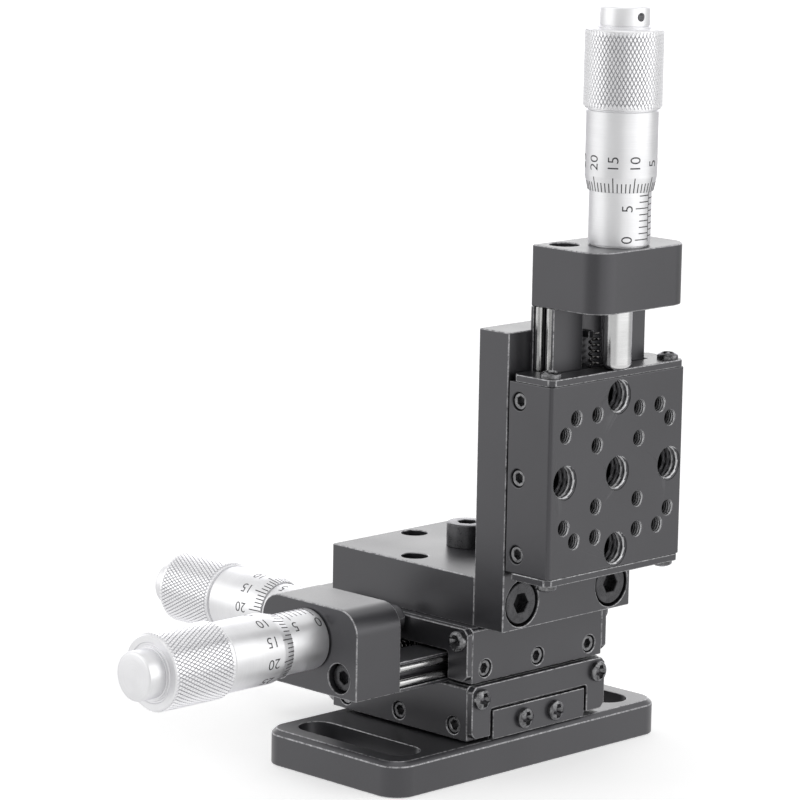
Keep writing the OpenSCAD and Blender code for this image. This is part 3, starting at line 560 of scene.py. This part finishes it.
# thread-cutting taps on the holes' mouths: a helical flank between core and full radius, and a small mouth cone
def tapTree():
    tree, given = newTree("threadTaps", Core="Float", Full="Float", Pitch="Float", Depth="Float", Above="Float",
                          MouthRadius="Float", MouthDepth="Float", Sides="Int", Levels="Int")
    height = given["Depth"] + given["Above"]
    blank = make(tree, "GeometryNodeMeshCylinder", {"Vertices": given["Sides"], "Side Segments": given["Levels"],
                                                    "Radius": 1.0, "Depth": height})
    x, y, z = ownPlace(tree)
    level = z + (given["Above"] - height * 0.5)
    turns = level / given["Pitch"] + y.arctan(x) / fullTurn
    swing = abs((turns + threadForm["turnsBelow"]).fract() * 2.0 - 1.0)
    crest = ((1.0 - swing) * threadForm["steepness"] - threadForm["root"]).atLeast(0.0).atMost(1.0)
    threaded = given["Core"] + crest * (given["Full"] - given["Core"])
    rise = (level + given["MouthDepth"]) / given["MouthDepth"]
    radius = threaded.atLeast(given["Core"] + rise * (given["MouthRadius"] - given["Core"]))
    flat, up = triple(tree, x, y, 0.0), triple(tree, 0.0, 0.0, level)
    outward = make(tree, "ShaderNodeVectorMath", {0: flat, "Scale": radius}, operation="SCALE")
    spot = make(tree, "ShaderNodeVectorMath", {0: outward, 1: up}, operation="ADD")
    tap = make(tree, "GeometryNodeSetPosition", {"Geometry": blank, "Position": spot})
    return closeTree(tree, copiesOn(tree, given["Geometry"], tap), given["Material"])


trees = {"placed": placedTree(), "knurl": knurlTree(), "thimbleScale": thimbleScaleTree(),
         "sleeveScale": sleeveScaleTree(), "spring": springTree(), "taps": tapTree()}
print("node trees ready:", ", ".join(trees))


# screws, rods and balls are each made once and placed by the placed tree; sizes in mm
screwSizes = {
    "panHead": {"radius": 1.75, "height": 1.1, "shank": 0.78, "wall": 0.42, "shoulder": 0.36, "sides": 40,
                "shoulderAngles": (0.4, 0.8, 1.2),
                "dome": ((0.62, 0.93), (0.3, 0.99), (0, 1)), "crossArm": 1.14, "crossWidth": 0.37, "crossCore": 1.35,
                "crossDepth": 0.9, "crossRim": 0.8, "crossNarrow": 0.55, "crossWide": 1.12, "cutterAbove": 0.2},
    "smallCap": {"radius": 2.25, "height": 2.5, "edge": 0.22, "shank": 1.0, "hex": 2.0, "hexDepth": 1.25},
    "largeCap": {"radius": 3.5, "height": 4.0, "edge": 0.32, "shank": 1.63, "hex": 3.0, "hexDepth": 2.0},
    "setScrew": {"radius": 1.48, "hex": 1.5, "length": 2.123, "tip": 0.8, "edge": 0.22, "sides": 40},
}
capScrewLook = {"footEdge": 0.08, "flatShare": 0.64, "hexEntry": 0.12, "sides": 56, "edgeAngles": (0.39, 0.79, 1.18)}
setScrewLook = {"footEdge": 0.2, "hexEntry": 0.1}
rodLook = {"edge": 0.08, "sides": 32}
ballLook = {"rings": 14, "sides": 24}


def hexPrism(flats, low, high, entry, above=0.3):
    side = flats / 2
    levels = [(side, low), (side, high - entry), (side + entry, high), (side + entry + above, high + above)]
    verts = []
    for half, level in levels:
        corner = half / math.cos(math.pi / 6)
        verts += [(corner * math.cos(math.pi / 3 * k), corner * math.sin(math.pi / 3 * k), level) for k in range(6)]
    faces = [[6 * n + k, 6 * n + (k + 1) % 6, 6 * n + 6 + (k + 1) % 6, 6 * n + 6 + k]
             for n in range(3) for k in range(6)]
    return meshFrom("hexCut", verts, faces + [list(range(5, -1, -1)), list(range(18, 24))])


# a cross of four arms that narrows as it goes down
def crossRecess(size):
    top = size["height"] + size["cutterAbove"]
    low = size["height"] - size["crossDepth"]
    verts, faces = [], []
    rim = size["height"] * size["crossRim"]
    for share, level in ((size["crossNarrow"], low), (1.0, rim), (size["crossWide"], top)):
        reach, width = size["crossArm"] * share, size["crossWidth"] * share
        core = width * size["crossCore"]
        for k in range(4):
            for along, side in ((core, -core), (reach, -width), (reach, width)):
                angle = k * math.pi / 2
                verts.append((along * math.cos(angle) - side * math.sin(angle),
                              along * math.sin(angle) + side * math.cos(angle), level))
    for n in range(2):
        for k in range(12):
            faces.append([12 * n + k, 12 * n + (k + 1) % 12, 12 * n + 12 + (k + 1) % 12, 12 * n + 12 + k])
    return meshFrom("crossCut", verts, faces + [list(range(11, -1, -1)), list(range(24, 36))])


def panHeadScrew(shankLength):
    size = screwSizes["panHead"]
    r, h, wall, bend = size["radius"], size["height"], size["height"] * size["wall"], size["shoulder"]
    outline = [(0, -shankLength), (size["shank"], -shankLength), (size["shank"], 0), (r, 0), (r, wall)]
    outline += [(r - bend + bend * math.cos(a), wall + bend * math.sin(a)) for a in size["shoulderAngles"]]
    outline += [(r * across, h * up) for across, up in size["dome"]]
    return carve(revolve("panHead", outline, size["sides"], smoothTo["fixing"]), crossRecess(size))


def capScrew(kind, shankLength):
    size, look = screwSizes[kind], capScrewLook
    r, h, e, foot = size["radius"], size["height"], size["edge"], look["footEdge"]
    outline = [(0, -shankLength), (size["shank"], -shankLength), (size["shank"], 0), (r - foot, 0), (r, foot),
               (r, h - e)]
    outline += [(r - e + e * math.cos(a), h - e + e * math.sin(a)) for a in look["edgeAngles"]]
    outline += [(r - e, h), (size["hex"] * look["flatShare"], h), (0, h)]
    return carve(revolve(kind, outline, look["sides"], smoothTo["fixing"]),
                 hexPrism(size["hex"], h - size["hexDepth"], h, look["hexEntry"]))


def setScrew():
    size, look = screwSizes["setScrew"], setScrewLook
    r, e, h, foot = size["radius"], size["edge"], size["length"], look["footEdge"]
    outline = [(0, 0), (r - foot, 0), (r, foot), (r, h - e), (r - e, h), (0, h)]
    return carve(revolve("setScrew", outline, size["sides"], smoothTo["fixing"]),
                 hexPrism(size["hex"], size["tip"], h, look["hexEntry"]))


def straightRod(radius, length):
    e = rodLook["edge"]
    outline = [(0, 0), (radius - e, 0), (radius, e), (radius, length - e), (radius - e, length), (0, length)]
    return revolve("rod", outline, rodLook["sides"], smoothTo["fixing"])


def ballBearing(radius):
    rings = ballLook["rings"]
    angles = [math.pi * k / rings for k in range(rings)]
    outline = [(radius * math.sin(a), -radius * math.cos(a)) for a in angles]
    return revolve("ball", outline + [(0, radius)], ballLook["sides"], smoothTo["ball"])


def pointCloud(name, places):
    mesh = meshFrom(name, [spot for spot, aim in places], [])
    layer = mesh.attributes.new("aim", "FLOAT_VECTOR", "POINT")
    for entry, (spot, aim) in zip(layer.data, places):
        entry.vector = aim
    return mesh


def placeCopies(name, template, places, finish, place, body, replaced):
    holder = link("template", template)
    piece = grow(name, trees["placed"], {"Template": holder}, finish, place, pointCloud(name, places),
                 smoothTo["copies"])
    bpy.data.objects.remove(holder)
    dress(piece, finish, body, replaced)
    return piece


fixings = {
    "endX": 16.8, "railBack": 15.8, "endScrewY": 14.0, "endScrewZ": 7.4, "coverScrewY": 3.7, "coverScrewZ": 2.5,
    "blockSeat": 33.5, "blockScrewY": 7.0, "blockScrewZ": 3.2, "preloadPitch": 12.5, "preloadY": 13.574,
    "preloadZ": 2.55, "innerRodY": 10.276, "outerRodY": 12.824, "rodLow": 1.35, "rodHigh": 3.75, "rodRadius": 0.75,
    "blockX": 27.1, "halfLength": 15.6, "ballY": 11.55, "ballPitch": 4.0, "ballRadius": 0.97, "endShank": 3.7,
    "coverShank": 3.5, "blockShank": 11.9,
}


def buildFixings(letter):
    stage, place, f = stages[letter], stagePlace(letter), fixings
    name, table, rail = letter + "_", stage["table"], stage["rail"]
    pair, rodLevels = (-1, 1), (f["rodLow"], f["rodHigh"])
    sets = (
        ("endScrewSet", "end_screws", table, "panHeadSteel", panHeadScrew(f["endShank"]),
         [((end * f["endX"], side * f["endScrewY"], f["endScrewZ"]), (end, 0, 0)) for end in pair for side in pair]),
        ("coverScrewSet", "cover_screws", rail, "panHeadSteel", panHeadScrew(f["coverShank"]),
         [((-f["endX"], side * f["coverScrewY"], f["coverScrewZ"]), (-1, 0, 0)) for side in pair]),
        ("blockScrewSet", "block_screws", rail, "screwBlack", capScrew("smallCap", f["blockShank"]),
         [((f["blockSeat"], side * f["blockScrewY"], f["blockScrewZ"]), (1, 0, 0)) for side in pair]),
        ("preloadSet", "preload_screws", table, "setScrewSteel", setScrew(),
         [((spot * f["preloadPitch"], f["preloadY"], f["preloadZ"]), (0, 1, 0)) for spot in (-1, 0, 1)]),
        ("innerRodSet", "inner_rods", rail, "groundSteel", straightRod(f["rodRadius"], f["railBack"] + f["blockX"]),
         [((-f["railBack"], side * f["innerRodY"], level), (1, 0, 0)) for side in pair for level in rodLevels]),
        ("outerRodSet", "outer_rods", table, "groundSteel", straightRod(f["rodRadius"], 2 * f["halfLength"]),
         [((-f["halfLength"], side * f["outerRodY"], level), (1, 0, 0)) for side in pair for level in rodLevels]),
        ("ballSet", "balls", bodyOf[name + "balls"], "groundSteel", ballBearing(f["ballRadius"]),
         [((spot * f["ballPitch"], side * f["ballY"], f["preloadZ"]), (0, 0, 1))
          for side in pair for spot in range(-2, 3)]),
    )
    for title, node, body, finish, template, places in sets:
        placeCopies(name + title, template, places, finish, place, body, (name + node,))


# radii out from the micrometer axis, then stations along it from the stage's middle, in mm
head = {
    "axis": 0.0, "bore": 2.55, "stem": 4.5, "sleeve": 4.975, "nose": 1.15, "spindle": 2.5, "thimbleBore": 5.025,
    "edge": 5.25, "thimble": 5.75, "groove": 6.06, "grip": 6.3, "ringOut": 4.75, "ringIn": 4.5, "cap": 3.98,
    "flange": 4.18, "capFlat": 2.4,
    "stemStart": 27.6, "blockEnd": 37.0, "sleeveEnd": 55.5, "noseStart": 16.8, "spindleEnd": 68.37, "edgeX": 45.87,
    "taperEnd": 48.22, "gripX": 58.87, "floorX": 63.2, "gripEnd": 71.6, "capFoot": 71.9, "capTop": 75.1,
}
noseLength = 1.0
capEdge = 0.35
capSides = 128
tommyHole = {"radius": 0.7, "low": 1.2, "high": 6, "x": 73.525, "sides": 32}
knurl = {"Around": 60, "Rows": 19, "RowPitch": 0.615, "ToothWidth": 0.66, "TopShare": 0.66, "Sink": 0.05}
scale = {"zeroMark": 1.33, "divisions": 50, "shortLine": 1.52, "longLine": 2.44, "lineWidth": 0.17, "proud": 0.012,
         "millimetres": 16, "shortAngle": 25, "longAngle": 33, "sleeveLineWidth": 0.16, "indexStart": 0.9,
         "indexLength": 17.2}
figures = {"every": 5, "start": 4.6, "height": 1.73, "sleeveHeight": 1.75, "sleeveAngle": -49.3, "wide": 1.03,
           "curveSteps": 4, "extrude": 0.02, "thinner": -0.006, "bands": 6, "base": 0.6, "rise": 20}


def arc(centreR, centreH, radius, first, last, count):
    return [(centreR + radius * math.cos(math.radians(first + (last - first) * k / count)),
             centreH + radius * math.sin(math.radians(first + (last - first) * k / count))) for k in range(count + 1)]


# corner points of an outline: a radius and a station of the head, with small steps out and along from there
def corner(radius, station, *steps):
    return [(head[radius] + out, head[station] + ahead) for out, ahead in steps or ((0, 0),)]


def noseCurve():
    low, wide = head["noseStart"] + 0.02, head["spindle"] - head["nose"]
    angles = [math.radians(a) for a in range(15, 91, 15)]
    return [(head["nose"] + wide * math.sin(a), low + noseLength * (1 - math.cos(a))) for a in angles]


turnedPieces = {
    "sleeve": {"finish": "satinChrome", "sides": 128, "outline": [
        *corner("bore", "stemStart"), *corner("stem", "stemStart", (-0.2, 0), (0, 0.2)),
        *corner("stem", "blockEnd", (0, 0.02)),
        *corner("sleeve", "blockEnd", (-0.4, 0.02), (-0.4, 0.22), (-0.05, 0.24), (0, 0.3)),
        *corner("sleeve", "sleeveEnd", (0, -0.15), (-0.15, 0)), *corner("bore", "sleeveEnd")]},
    "spindle": {"finish": "spindleSteel", "sides": 96, "outline": [
        *corner("axis", "noseStart"), *corner("nose", "noseStart", (0, 0.02)), *noseCurve(),
        *corner("spindle", "spindleEnd", (0, -0.2), (-0.2, 0)), *corner("axis", "spindleEnd")]},
    "thimble": {"finish": "satinChrome", "sides": 144, "outline": [
        *corner("thimbleBore", "edgeX"), *corner("edge", "edgeX", (-0.04, 0), (0, 0.04)),
        *corner("thimble", "taperEnd", (-0.03, -0.14), (0, 0.14)),
        *corner("thimble", "gripX", (0, -0.3), (-0.12, -0.14), (-0.12, 0.02)),
        *corner("groove", "gripX", (-0.1, 0.04), (0, 0.16)), *corner("groove", "gripEnd", (0, -0.24), (-0.18, 0)),
        *corner("ringOut", "gripEnd", (0.15, 0), (0, -0.16)), *corner("ringIn", "gripEnd", (0, -0.16), (-0.1, 0)),
        *corner("axis", "gripEnd"), *corner("axis", "spindleEnd", (0, 0.5)), *corner("bore", "spindleEnd", (0, 0.5)),
        *corner("bore", "floorX"), *corner("thimbleBore", "floorX")]},
}
capOutline = [
    *corner("axis", "gripEnd", (0, -0.1)), *corner("flange", "gripEnd", (0, -0.1)),
    *corner("flange", "capFoot", (0, -0.06), (-0.06, 0)),
    *corner("cap", "capFoot", (-0.08, 0.03), (-0.08, 0.14), (0, 0.2)),
    *arc(head["cap"] - capEdge, head["capTop"] - capEdge, capEdge, 0, 80, 5),
    *corner("capFlat", "capTop"), *corner("axis", "capTop")]


# figures drawn flat, then wrapped round the micrometer axis: they read from the sleeve to the knob
def wrappedNumber(text, height, radius, centreX, angle):
    curve = bpy.data.curves.new("figure", "FONT")
    curve.body, curve.size, curve.resolution_u = text, 1.0, figures["curveSteps"]
    curve.align_x, curve.extrude, curve.offset = "CENTER", figures["extrude"], figures["thinner"]
    holder = link("figure", curve)
    mesh = evaluatedMesh(holder)
    bpy.data.objects.remove(holder)
    bm = bmesh.new()
    bm.from_mesh(mesh)
    bmesh.ops.remove_doubles(bm, verts=bm.verts, dist=edgeLook["mergeDistance"])
    low, high = min(v.co.y for v in bm.verts), max(v.co.y for v in bm.verts)
    for cut in range(1, figures["bands"]):
        bmesh.ops.bisect_plane(bm, geom=bm.verts[:] + bm.edges[:] + bm.faces[:], dist=1e-5, plane_no=(0, 1, 0),
                               plane_co=(0, low + (high - low) * cut / figures["bands"], 0))
    size = height / (high - low)
    for vert in bm.verts:
        turn = math.radians(angle) - (vert.co.y - (low + high) / 2) * size / radius
        reach = radius + scale["proud"] * (figures["base"] + figures["rise"] * vert.co.z)
        vert.co = (centreX + vert.co.x * size * figures["wide"], -reach * math.sin(turn),
                   micrometerHeight + reach * math.cos(turn))
    bm.to_mesh(mesh)
    bm.free()
    return mesh


def joinMeshes(name, meshes):
    bm = bmesh.new()
    for mesh in meshes:
        bm.from_mesh(mesh)
    bmesh.ops.recalc_face_normals(bm, faces=bm.faces)
    joined = bpy.data.meshes.new(name)
    bm.to_mesh(joined)
    bm.free()
    return joined


# the cap at the knob's end, with its tommy hole
def capMesh(name, turn):
    cap = revolve(name, capOutline, capSides)
    cap.transform(spindlePlace)
    hole = tommyHole
    outline = [(0, hole["low"]), (hole["radius"], hole["low"]), (hole["radius"], hole["high"]), (0, hole["high"])]
    drill = revolve("drill", outline, hole["sides"])
    drill.transform(Matrix.Translation((hole["x"], 0, micrometerHeight)) @ Matrix.Rotation(math.radians(turn), 4, "X"))
    return carve(cap, drill)


def buildHead(letter):
    place, turningPlace, h, name = stagePlace(letter), thimblePlace(letter), head, letter + "_"
    for node, piece in turnedPieces.items():
        mesh = revolve(name + node + "Body", piece["outline"], piece["sides"])
        mesh.transform((turningPlace if node == "thimble" else place) @ spindlePlace)
        dress(link(name + node + "Body", mesh), piece["finish"], bodyOf[name + node], (name + node,))
    cap = capMesh(name + "capBody", stages[letter]["capTurn"])
    cap.transform(turningPlace)
    shade(cap, smoothTo["cap"])
    dress(link(name + "capBody", cap), "satinChrome", bodyOf[name + "thimble_cap"], (name + "thimble_cap",))
    rowsLength = (knurl["Rows"] - 1) * knurl["RowPitch"]
    grip = grow(name + "knurledGrip", trees["knurl"], dict(
        knurl, Start=(h["gripX"] + h["gripEnd"] - rowsLength) / 2, GrooveRadius=h["groove"],
        ToothHeight=h["grip"] - h["groove"], AxisHeight=micrometerHeight), "knurledChrome", turningPlace,
        smooth=smoothTo["knurl"])
    dress(grip, "knurledChrome", bodyOf[name + "thimble"])


# divisions and figures are enamelled lines that stand a few hundredths proud
def buildScales(letter):
    stage, place, turningPlace = stages[letter], stagePlace(letter), thimblePlace(letter)
    h, name = head, letter + "_"
    divisions = grow(name + "thimbleScale", trees["thimbleScale"], {
        "Count": scale["divisions"], "ZeroAngle": math.radians(stage["zeroAngle"]), "EdgeX": h["edgeX"],
        "EdgeRadius": h["edge"], "Slope": math.atan2(h["thimble"] - h["edge"], h["taperEnd"] - h["edgeX"]),
        "ShortLine": scale["shortLine"], "LongLine": scale["longLine"], "LineWidth": scale["lineWidth"],
        "Proud": scale["proud"], "AxisHeight": micrometerHeight}, "enamelBlack", turningPlace)
    dress(divisions, "enamelBlack", bodyOf[name + "thimble"])
    zeroX = h["blockEnd"] + scale["zeroMark"]
    lines = grow(name + "sleeveScale", trees["sleeveScale"], {
        "Millimetres": scale["millimetres"], "ZeroX": zeroX, "IndexAngle": math.radians(stage["indexAngle"]),
        "Radius": h["sleeve"], "ShortSpan": math.radians(scale["shortAngle"]),
        "LongSpan": math.radians(scale["longAngle"]), "LineWidth": scale["sleeveLineWidth"],
        "Proud": 2 * scale["proud"], "IndexStart": h["blockEnd"] + scale["indexStart"],
        "IndexLength": scale["indexLength"], "AxisHeight": micrometerHeight}, "enamelBlack", place)
    dress(lines, "enamelBlack", stage["rail"])
    turning = joinMeshes(name + "thimbleFigures", [
        wrappedNumber(str(n), figures["height"], h["thimble"], h["edgeX"] + figures["start"],
                      stage["zeroAngle"] - 360 / scale["divisions"] * n)
        for n in range(0, scale["divisions"], figures["every"])])
    still = joinMeshes(name + "sleeveFigures", [
        wrappedNumber(str(n), figures["sleeveHeight"], h["sleeve"], zeroX + n,
                      stage["indexAngle"] + figures["sleeveAngle"])
        for n in range(0, scale["millimetres"], figures["every"])])
    for title, mesh, body, spot in (("thimbleFigures", turning, bodyOf[name + "thimble"], turningPlace),
                                    ("sleeveFigures", still, stage["rail"], place)):
        mesh.transform(spot)
        shade(mesh, smoothTo["figures"])
        dress(link(name + title, mesh), "enamelBlack", body)


springSizes = {"Curls": 26, "Steps": 16, "LegSteps": 4, "StartX": -3.6, "Pitch": 0.99, "MeanRadius": 0.775,
               "WireRadius": 0.175, "LegLength": 1.3, "AxisHeight": 3.8}


def buildSpring(letter):
    stage, place = stages[letter], stagePlace(letter)
    spring = grow(letter + "_coil", trees["spring"], springSizes, "shadedSpringWire", place, smooth=smoothTo["wire"])
    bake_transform(spring)
    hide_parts(letter + "_spring")


# widths of the broken edges
edgeBreaks = {"base_plate": 0.13, "bracket_foot": 0.16, "bracket_upright": 0.18}
stageBreaks = {"rail_base": 0.12, "rail_cover": 0.16, "carriage": 0.17, "end_plates": 0.17, "mic_block": 0.18}
tableTop = 9.6
largeThread = {"Core": 2.52, "Full": 3.0, "Pitch": 1.0, "MouthRadius": 2.72, "Sides": 48}
smallThread = {"Core": 1.265, "Full": 1.36, "Pitch": 0.5, "MouthRadius": 1.4, "Sides": 32}
tapMouth = {"Above": 0.3, "MouthDepth": 0.2}
wallSlack = {"floor": 0.01, "mouth": 0.02}
tapped = {
    "largeThrough": dict(largeThread, spots=[(-12.5, 0), (0, 0), (12.5, 0)], Depth=4.4, Levels=50),
    "largeBlind": dict(largeThread, spots=[(0, -12.5), (0, 12.5)], Depth=3.72, Levels=42),
    "small": dict(smallThread, spots=[(sx * x, sy * y) for x, y in ((5, 5), (10, 5), (10, 10), (7.5, 12.5))
                                      for sx in (-1, 1) for sy in (-1, 1)], Depth=3.22, Levels=64),
}


# the table's holes get their threads, and the cut walls a material of their own, painted darker with depth as painted
# shade
def tapTable(piece, letter):
    place = stagePlace(letter)
    for title, settings in tapped.items():
        points = meshFrom(title, [(x, y, tableTop) for x, y in settings["spots"]], [])
        cutter = grow(title, trees["taps"], dict(settings, **tapMouth), "tappedWall", place, points)
        mesh = cutter.data
        bpy.data.objects.remove(cutter)
        piece.data = carve(piece.data, mesh)
    mesh = piece.data
    mesh.materials.clear()
    for finish in ("blackAnodised", "edgeHighlight", "tappedWall"):
        mesh.materials.append(materials[finish])
    back = place.inverted()
    for face in mesh.polygons:
        spot = back @ face.center
        for settings in tapped.values():
            inside = any(math.hypot(spot.x - x, spot.y - y) < settings["MouthRadius"] for x, y in settings["spots"])
            if inside and tableTop - settings["Depth"] - wallSlack["floor"] < spot.z < tableTop - wallSlack["mouth"]:
                face.material_index = 2
    shade(mesh, smoothTo["edges"])


def buildBodies():
    for node, width in edgeBreaks.items():
        dress(brokenEdges(node, width), "blackAnodised", bodyOf[node], (node,))
    for letter in stages:
        for part, width in stageBreaks.items():
            node = letter + "_" + part
            piece = brokenEdges(node, width)
            if node == "z_carriage":
                tapTable(piece, letter)
            dress(piece, "blackAnodised", bodyOf[node], (node,))
        cages = frame["nodes"][letter + "_ball_cages"]
        cages.data.materials.clear()
        cages.data.materials.append(materials["cagePolymer"])


bracketScrews = {
    "uprightScrewSet": {"node": "bracket_screws", "shank": 9.8, "aim": (0, -1, 0),
                        "spots": ((-7.8, -15.55, 29.4), (13.8, -15.55, 29.4))},
    "footScrewSet": {"node": "foot_screw", "shank": 11.0, "aim": (0, 0, 1), "spots": ((4.0, 4.15, 33.3),)},
}


def buildBracketScrews():
    for title, screw in bracketScrews.items():
        placeCopies(title, capScrew("largeCap", screw["shank"]), [(spot, screw["aim"]) for spot in screw["spots"]],
                    "screwBlack", rowPlace, "x_table", (screw["node"],))


buildBodies()
print("black bodies done")
buildBracketScrews()
for letter in stages:
    buildFixings(letter)
print("screws, rods and balls done")
for letter in stages:
    buildHead(letter)
    buildScales(letter)
    buildSpring(letter)
print("micrometer heads and springs done")

# turns are degrees from the camera's own direction, to the right where they are positive; lengths in m
studio = {"worldLight": 0.5, "worldSeen": 1.0, "gap": {"turn": -24, "spread": 34, "level": 0.3}, "softness": 13,
          "floorHalf": 4, "floorDrop": 0.0001, "floorColor": 0.84, "speck": 0.01, "speckSize": 900, "floorSeen": 0.5,
          "floorMirrored": 0.6, "mirrorNear": 1.0, "mirrorReach": (0.08, 0.34), "lampAim": 0.05,
          "mirrorLobes": {"right": {"turn": 50, "spread": 42, "level": 0.7},
                          "left": {"turn": -92, "spread": 30, "level": 0.5}},
          "lamps": {
              "rightBox": {"turn": 68, "away": 1.25, "height": 0.5, "size": (1.7, 1.1), "level": 0.95},
              "leftBox": {"turn": -78, "away": 1.25, "height": 0.5, "size": (1.4, 1.1), "level": 0.8},
              "backBox": {"turn": 180, "away": 1.7, "height": 0.55, "size": (2.6, 1.1), "level": 1.25},
              "topBox": {"turn": 0, "away": 0.1, "height": 1.6, "size": (1.2, 1.2), "level": 0.5},
          }}
cameraFit = {"azimuth": -45.182, "elevation": 10.476, "roll": 0.979, "distance": 595.1,
             "target": (-46.3, -29.35, 68.8), "lens": 176.757, "sensor": 36.0, "clip": (0.05, 20)}


def headingOf(turn):
    return math.radians(cameraFit["azimuth"] - 90 + turn)


def glowNode(tree, kind, strength):
    return make(tree, kind, {"Color": (1, 1, 1, 1), "Strength": strength})


# how much of a level direction lies within a soft sector
def sectorShare(tree, direction, sector):
    x, y, z = parts(tree, direction)
    level = make(tree, "ShaderNodeVectorMath", {0: triple(tree, x, y, 0.0)}, operation="NORMALIZE")
    angle, soft = headingOf(sector["turn"]), studio["softness"]
    middle = (math.cos(angle), math.sin(angle), 0)
    facing = make(tree, "ShaderNodeVectorMath", {0: level, 1: middle}, "Value", operation="DOT_PRODUCT")
    ends = [math.cos(math.radians(sector["spread"] + more)) for more in (soft, -soft)]
    return mapped(tree, facing, ends, kind="SMOOTHSTEP")


# white behind the object for the camera and for mirror rays, and a softer sky with a gap that lights it
def buildWorld():
    world = bpy.data.worlds.new("studio")
    scene.world = world
    world.use_nodes = True
    tree = world.node_tree
    tree.nodes.clear()
    path = put(tree, "ShaderNodeLightPath").outputs
    seen = nodeValue(tree, path["Is Camera Ray"])
    for kind in ("Is Glossy Ray", "Is Transmission Ray"):
        seen = seen.atLeast(path[kind])
    gap = sectorShare(tree, make(tree, "ShaderNodeTexCoord", output="Generated"), studio["gap"])
    lit = glowNode(tree, "ShaderNodeBackground", studio["worldLight"] - gap * studio["gap"]["level"])
    plain = glowNode(tree, "ShaderNodeBackground", studio["worldSeen"])
    mixed = make(tree, "ShaderNodeMixShader", {0: seen, 1: lit, 2: plain})
    put(tree, "ShaderNodeOutputWorld", {0: mixed})


# a pale sheet; mirror rays see it white close to the object and in two lobes farther out
def buildFloor():
    material = bpy.data.materials.new("paleFloor")
    material.use_nodes = True
    tree = material.node_tree
    tree.nodes.clear()
    path, place = put(tree, "ShaderNodeLightPath").outputs, objectPlace(tree)
    tones = (studio["floorColor"] - studio["speck"], studio["floorColor"] + studio["speck"])
    tone = mapped(tree, noise(tree, place, studio["speckSize"]), (0.0, 1.0), tones)
    diffuse = make(tree, "ShaderNodeBsdfDiffuse", {"Color": triple(tree, tone, tone, tone)})
    cameraRay = nodeValue(tree, path["Is Camera Ray"])
    glow = glowNode(tree, "ShaderNodeEmission", cameraRay * studio["floorSeen"])
    plain = make(tree, "ShaderNodeAddShader", {0: diffuse, 1: glow})
    far = studio["floorMirrored"]
    for sector in studio["mirrorLobes"].values():
        far = far + sectorShare(tree, place, sector) * sector["level"]
    away = make(tree, "ShaderNodeVectorMath", {0: place}, "Value", operation="LENGTH")
    reach = mapped(tree, away, studio["mirrorReach"], kind="SMOOTHSTEP")
    near = (1.0 - reach) * studio["mirrorNear"]
    mirrored = glowNode(tree, "ShaderNodeEmission", near + reach * far)
    mixed = make(tree, "ShaderNodeMixShader", {0: path["Is Glossy Ray"], 1: plain, 2: mirrored})
    put(tree, "ShaderNodeOutputMaterial", {0: mixed})
    half, level = studio["floorHalf"], -studio["floorDrop"]
    corners = [(-half, -half, level), (half, -half, level), (half, half, level), (-half, half, level)]
    floor = link("floorSheet", meshFrom("floorSheet", corners, [(0, 1, 2, 3)]))
    floor.data.materials.append(material)


def buildLamps():
    for name, lamp in studio["lamps"].items():
        angle, (wide, high) = headingOf(lamp["turn"]), lamp["size"]
        spot = Vector((lamp["away"] * math.cos(angle), lamp["away"] * math.sin(angle), lamp["height"]))
        data = bpy.data.lights.new(name, "AREA")
        data.shape, data.size, data.size_y = "RECTANGLE", wide, high
        data.energy = lamp["level"] * math.pi * wide * high
        lampObject = link(name, data)
        lampObject.location = spot
        lampObject.rotation_euler = (Vector((0, 0, studio["lampAim"])) - spot).to_track_quat("-Z", "Y").to_euler()


def buildCamera():
    c = cameraFit
    azimuth, elevation, roll = (math.radians(c[key]) for key in ("azimuth", "elevation", "roll"))
    back = Vector((math.sin(azimuth) * math.cos(elevation), -math.cos(azimuth) * math.cos(elevation),
                   math.sin(elevation)))
    level = Vector((math.cos(azimuth), math.sin(azimuth), 0))
    up = back.cross(level)
    right = math.cos(roll) * level + math.sin(roll) * up
    above = -math.sin(roll) * level + math.cos(roll) * up
    data = bpy.data.cameras.new("photoCamera")
    data.lens, data.sensor_width, data.sensor_fit = c["lens"], c["sensor"], "AUTO"
    data.clip_start, data.clip_end = c["clip"]
    camera = link("photoCamera", data)
    turn = Matrix((right, above, back)).transposed().to_4x4()
    camera.matrix_world = Matrix.Translation(Vector(c["target"]) * mm + back * c["distance"] * mm) @ turn
    scene.camera = camera


buildWorld()
buildFloor()
buildLamps()
buildCamera()
scene.view_settings.view_transform = "Standard"
print("studio and camera done")
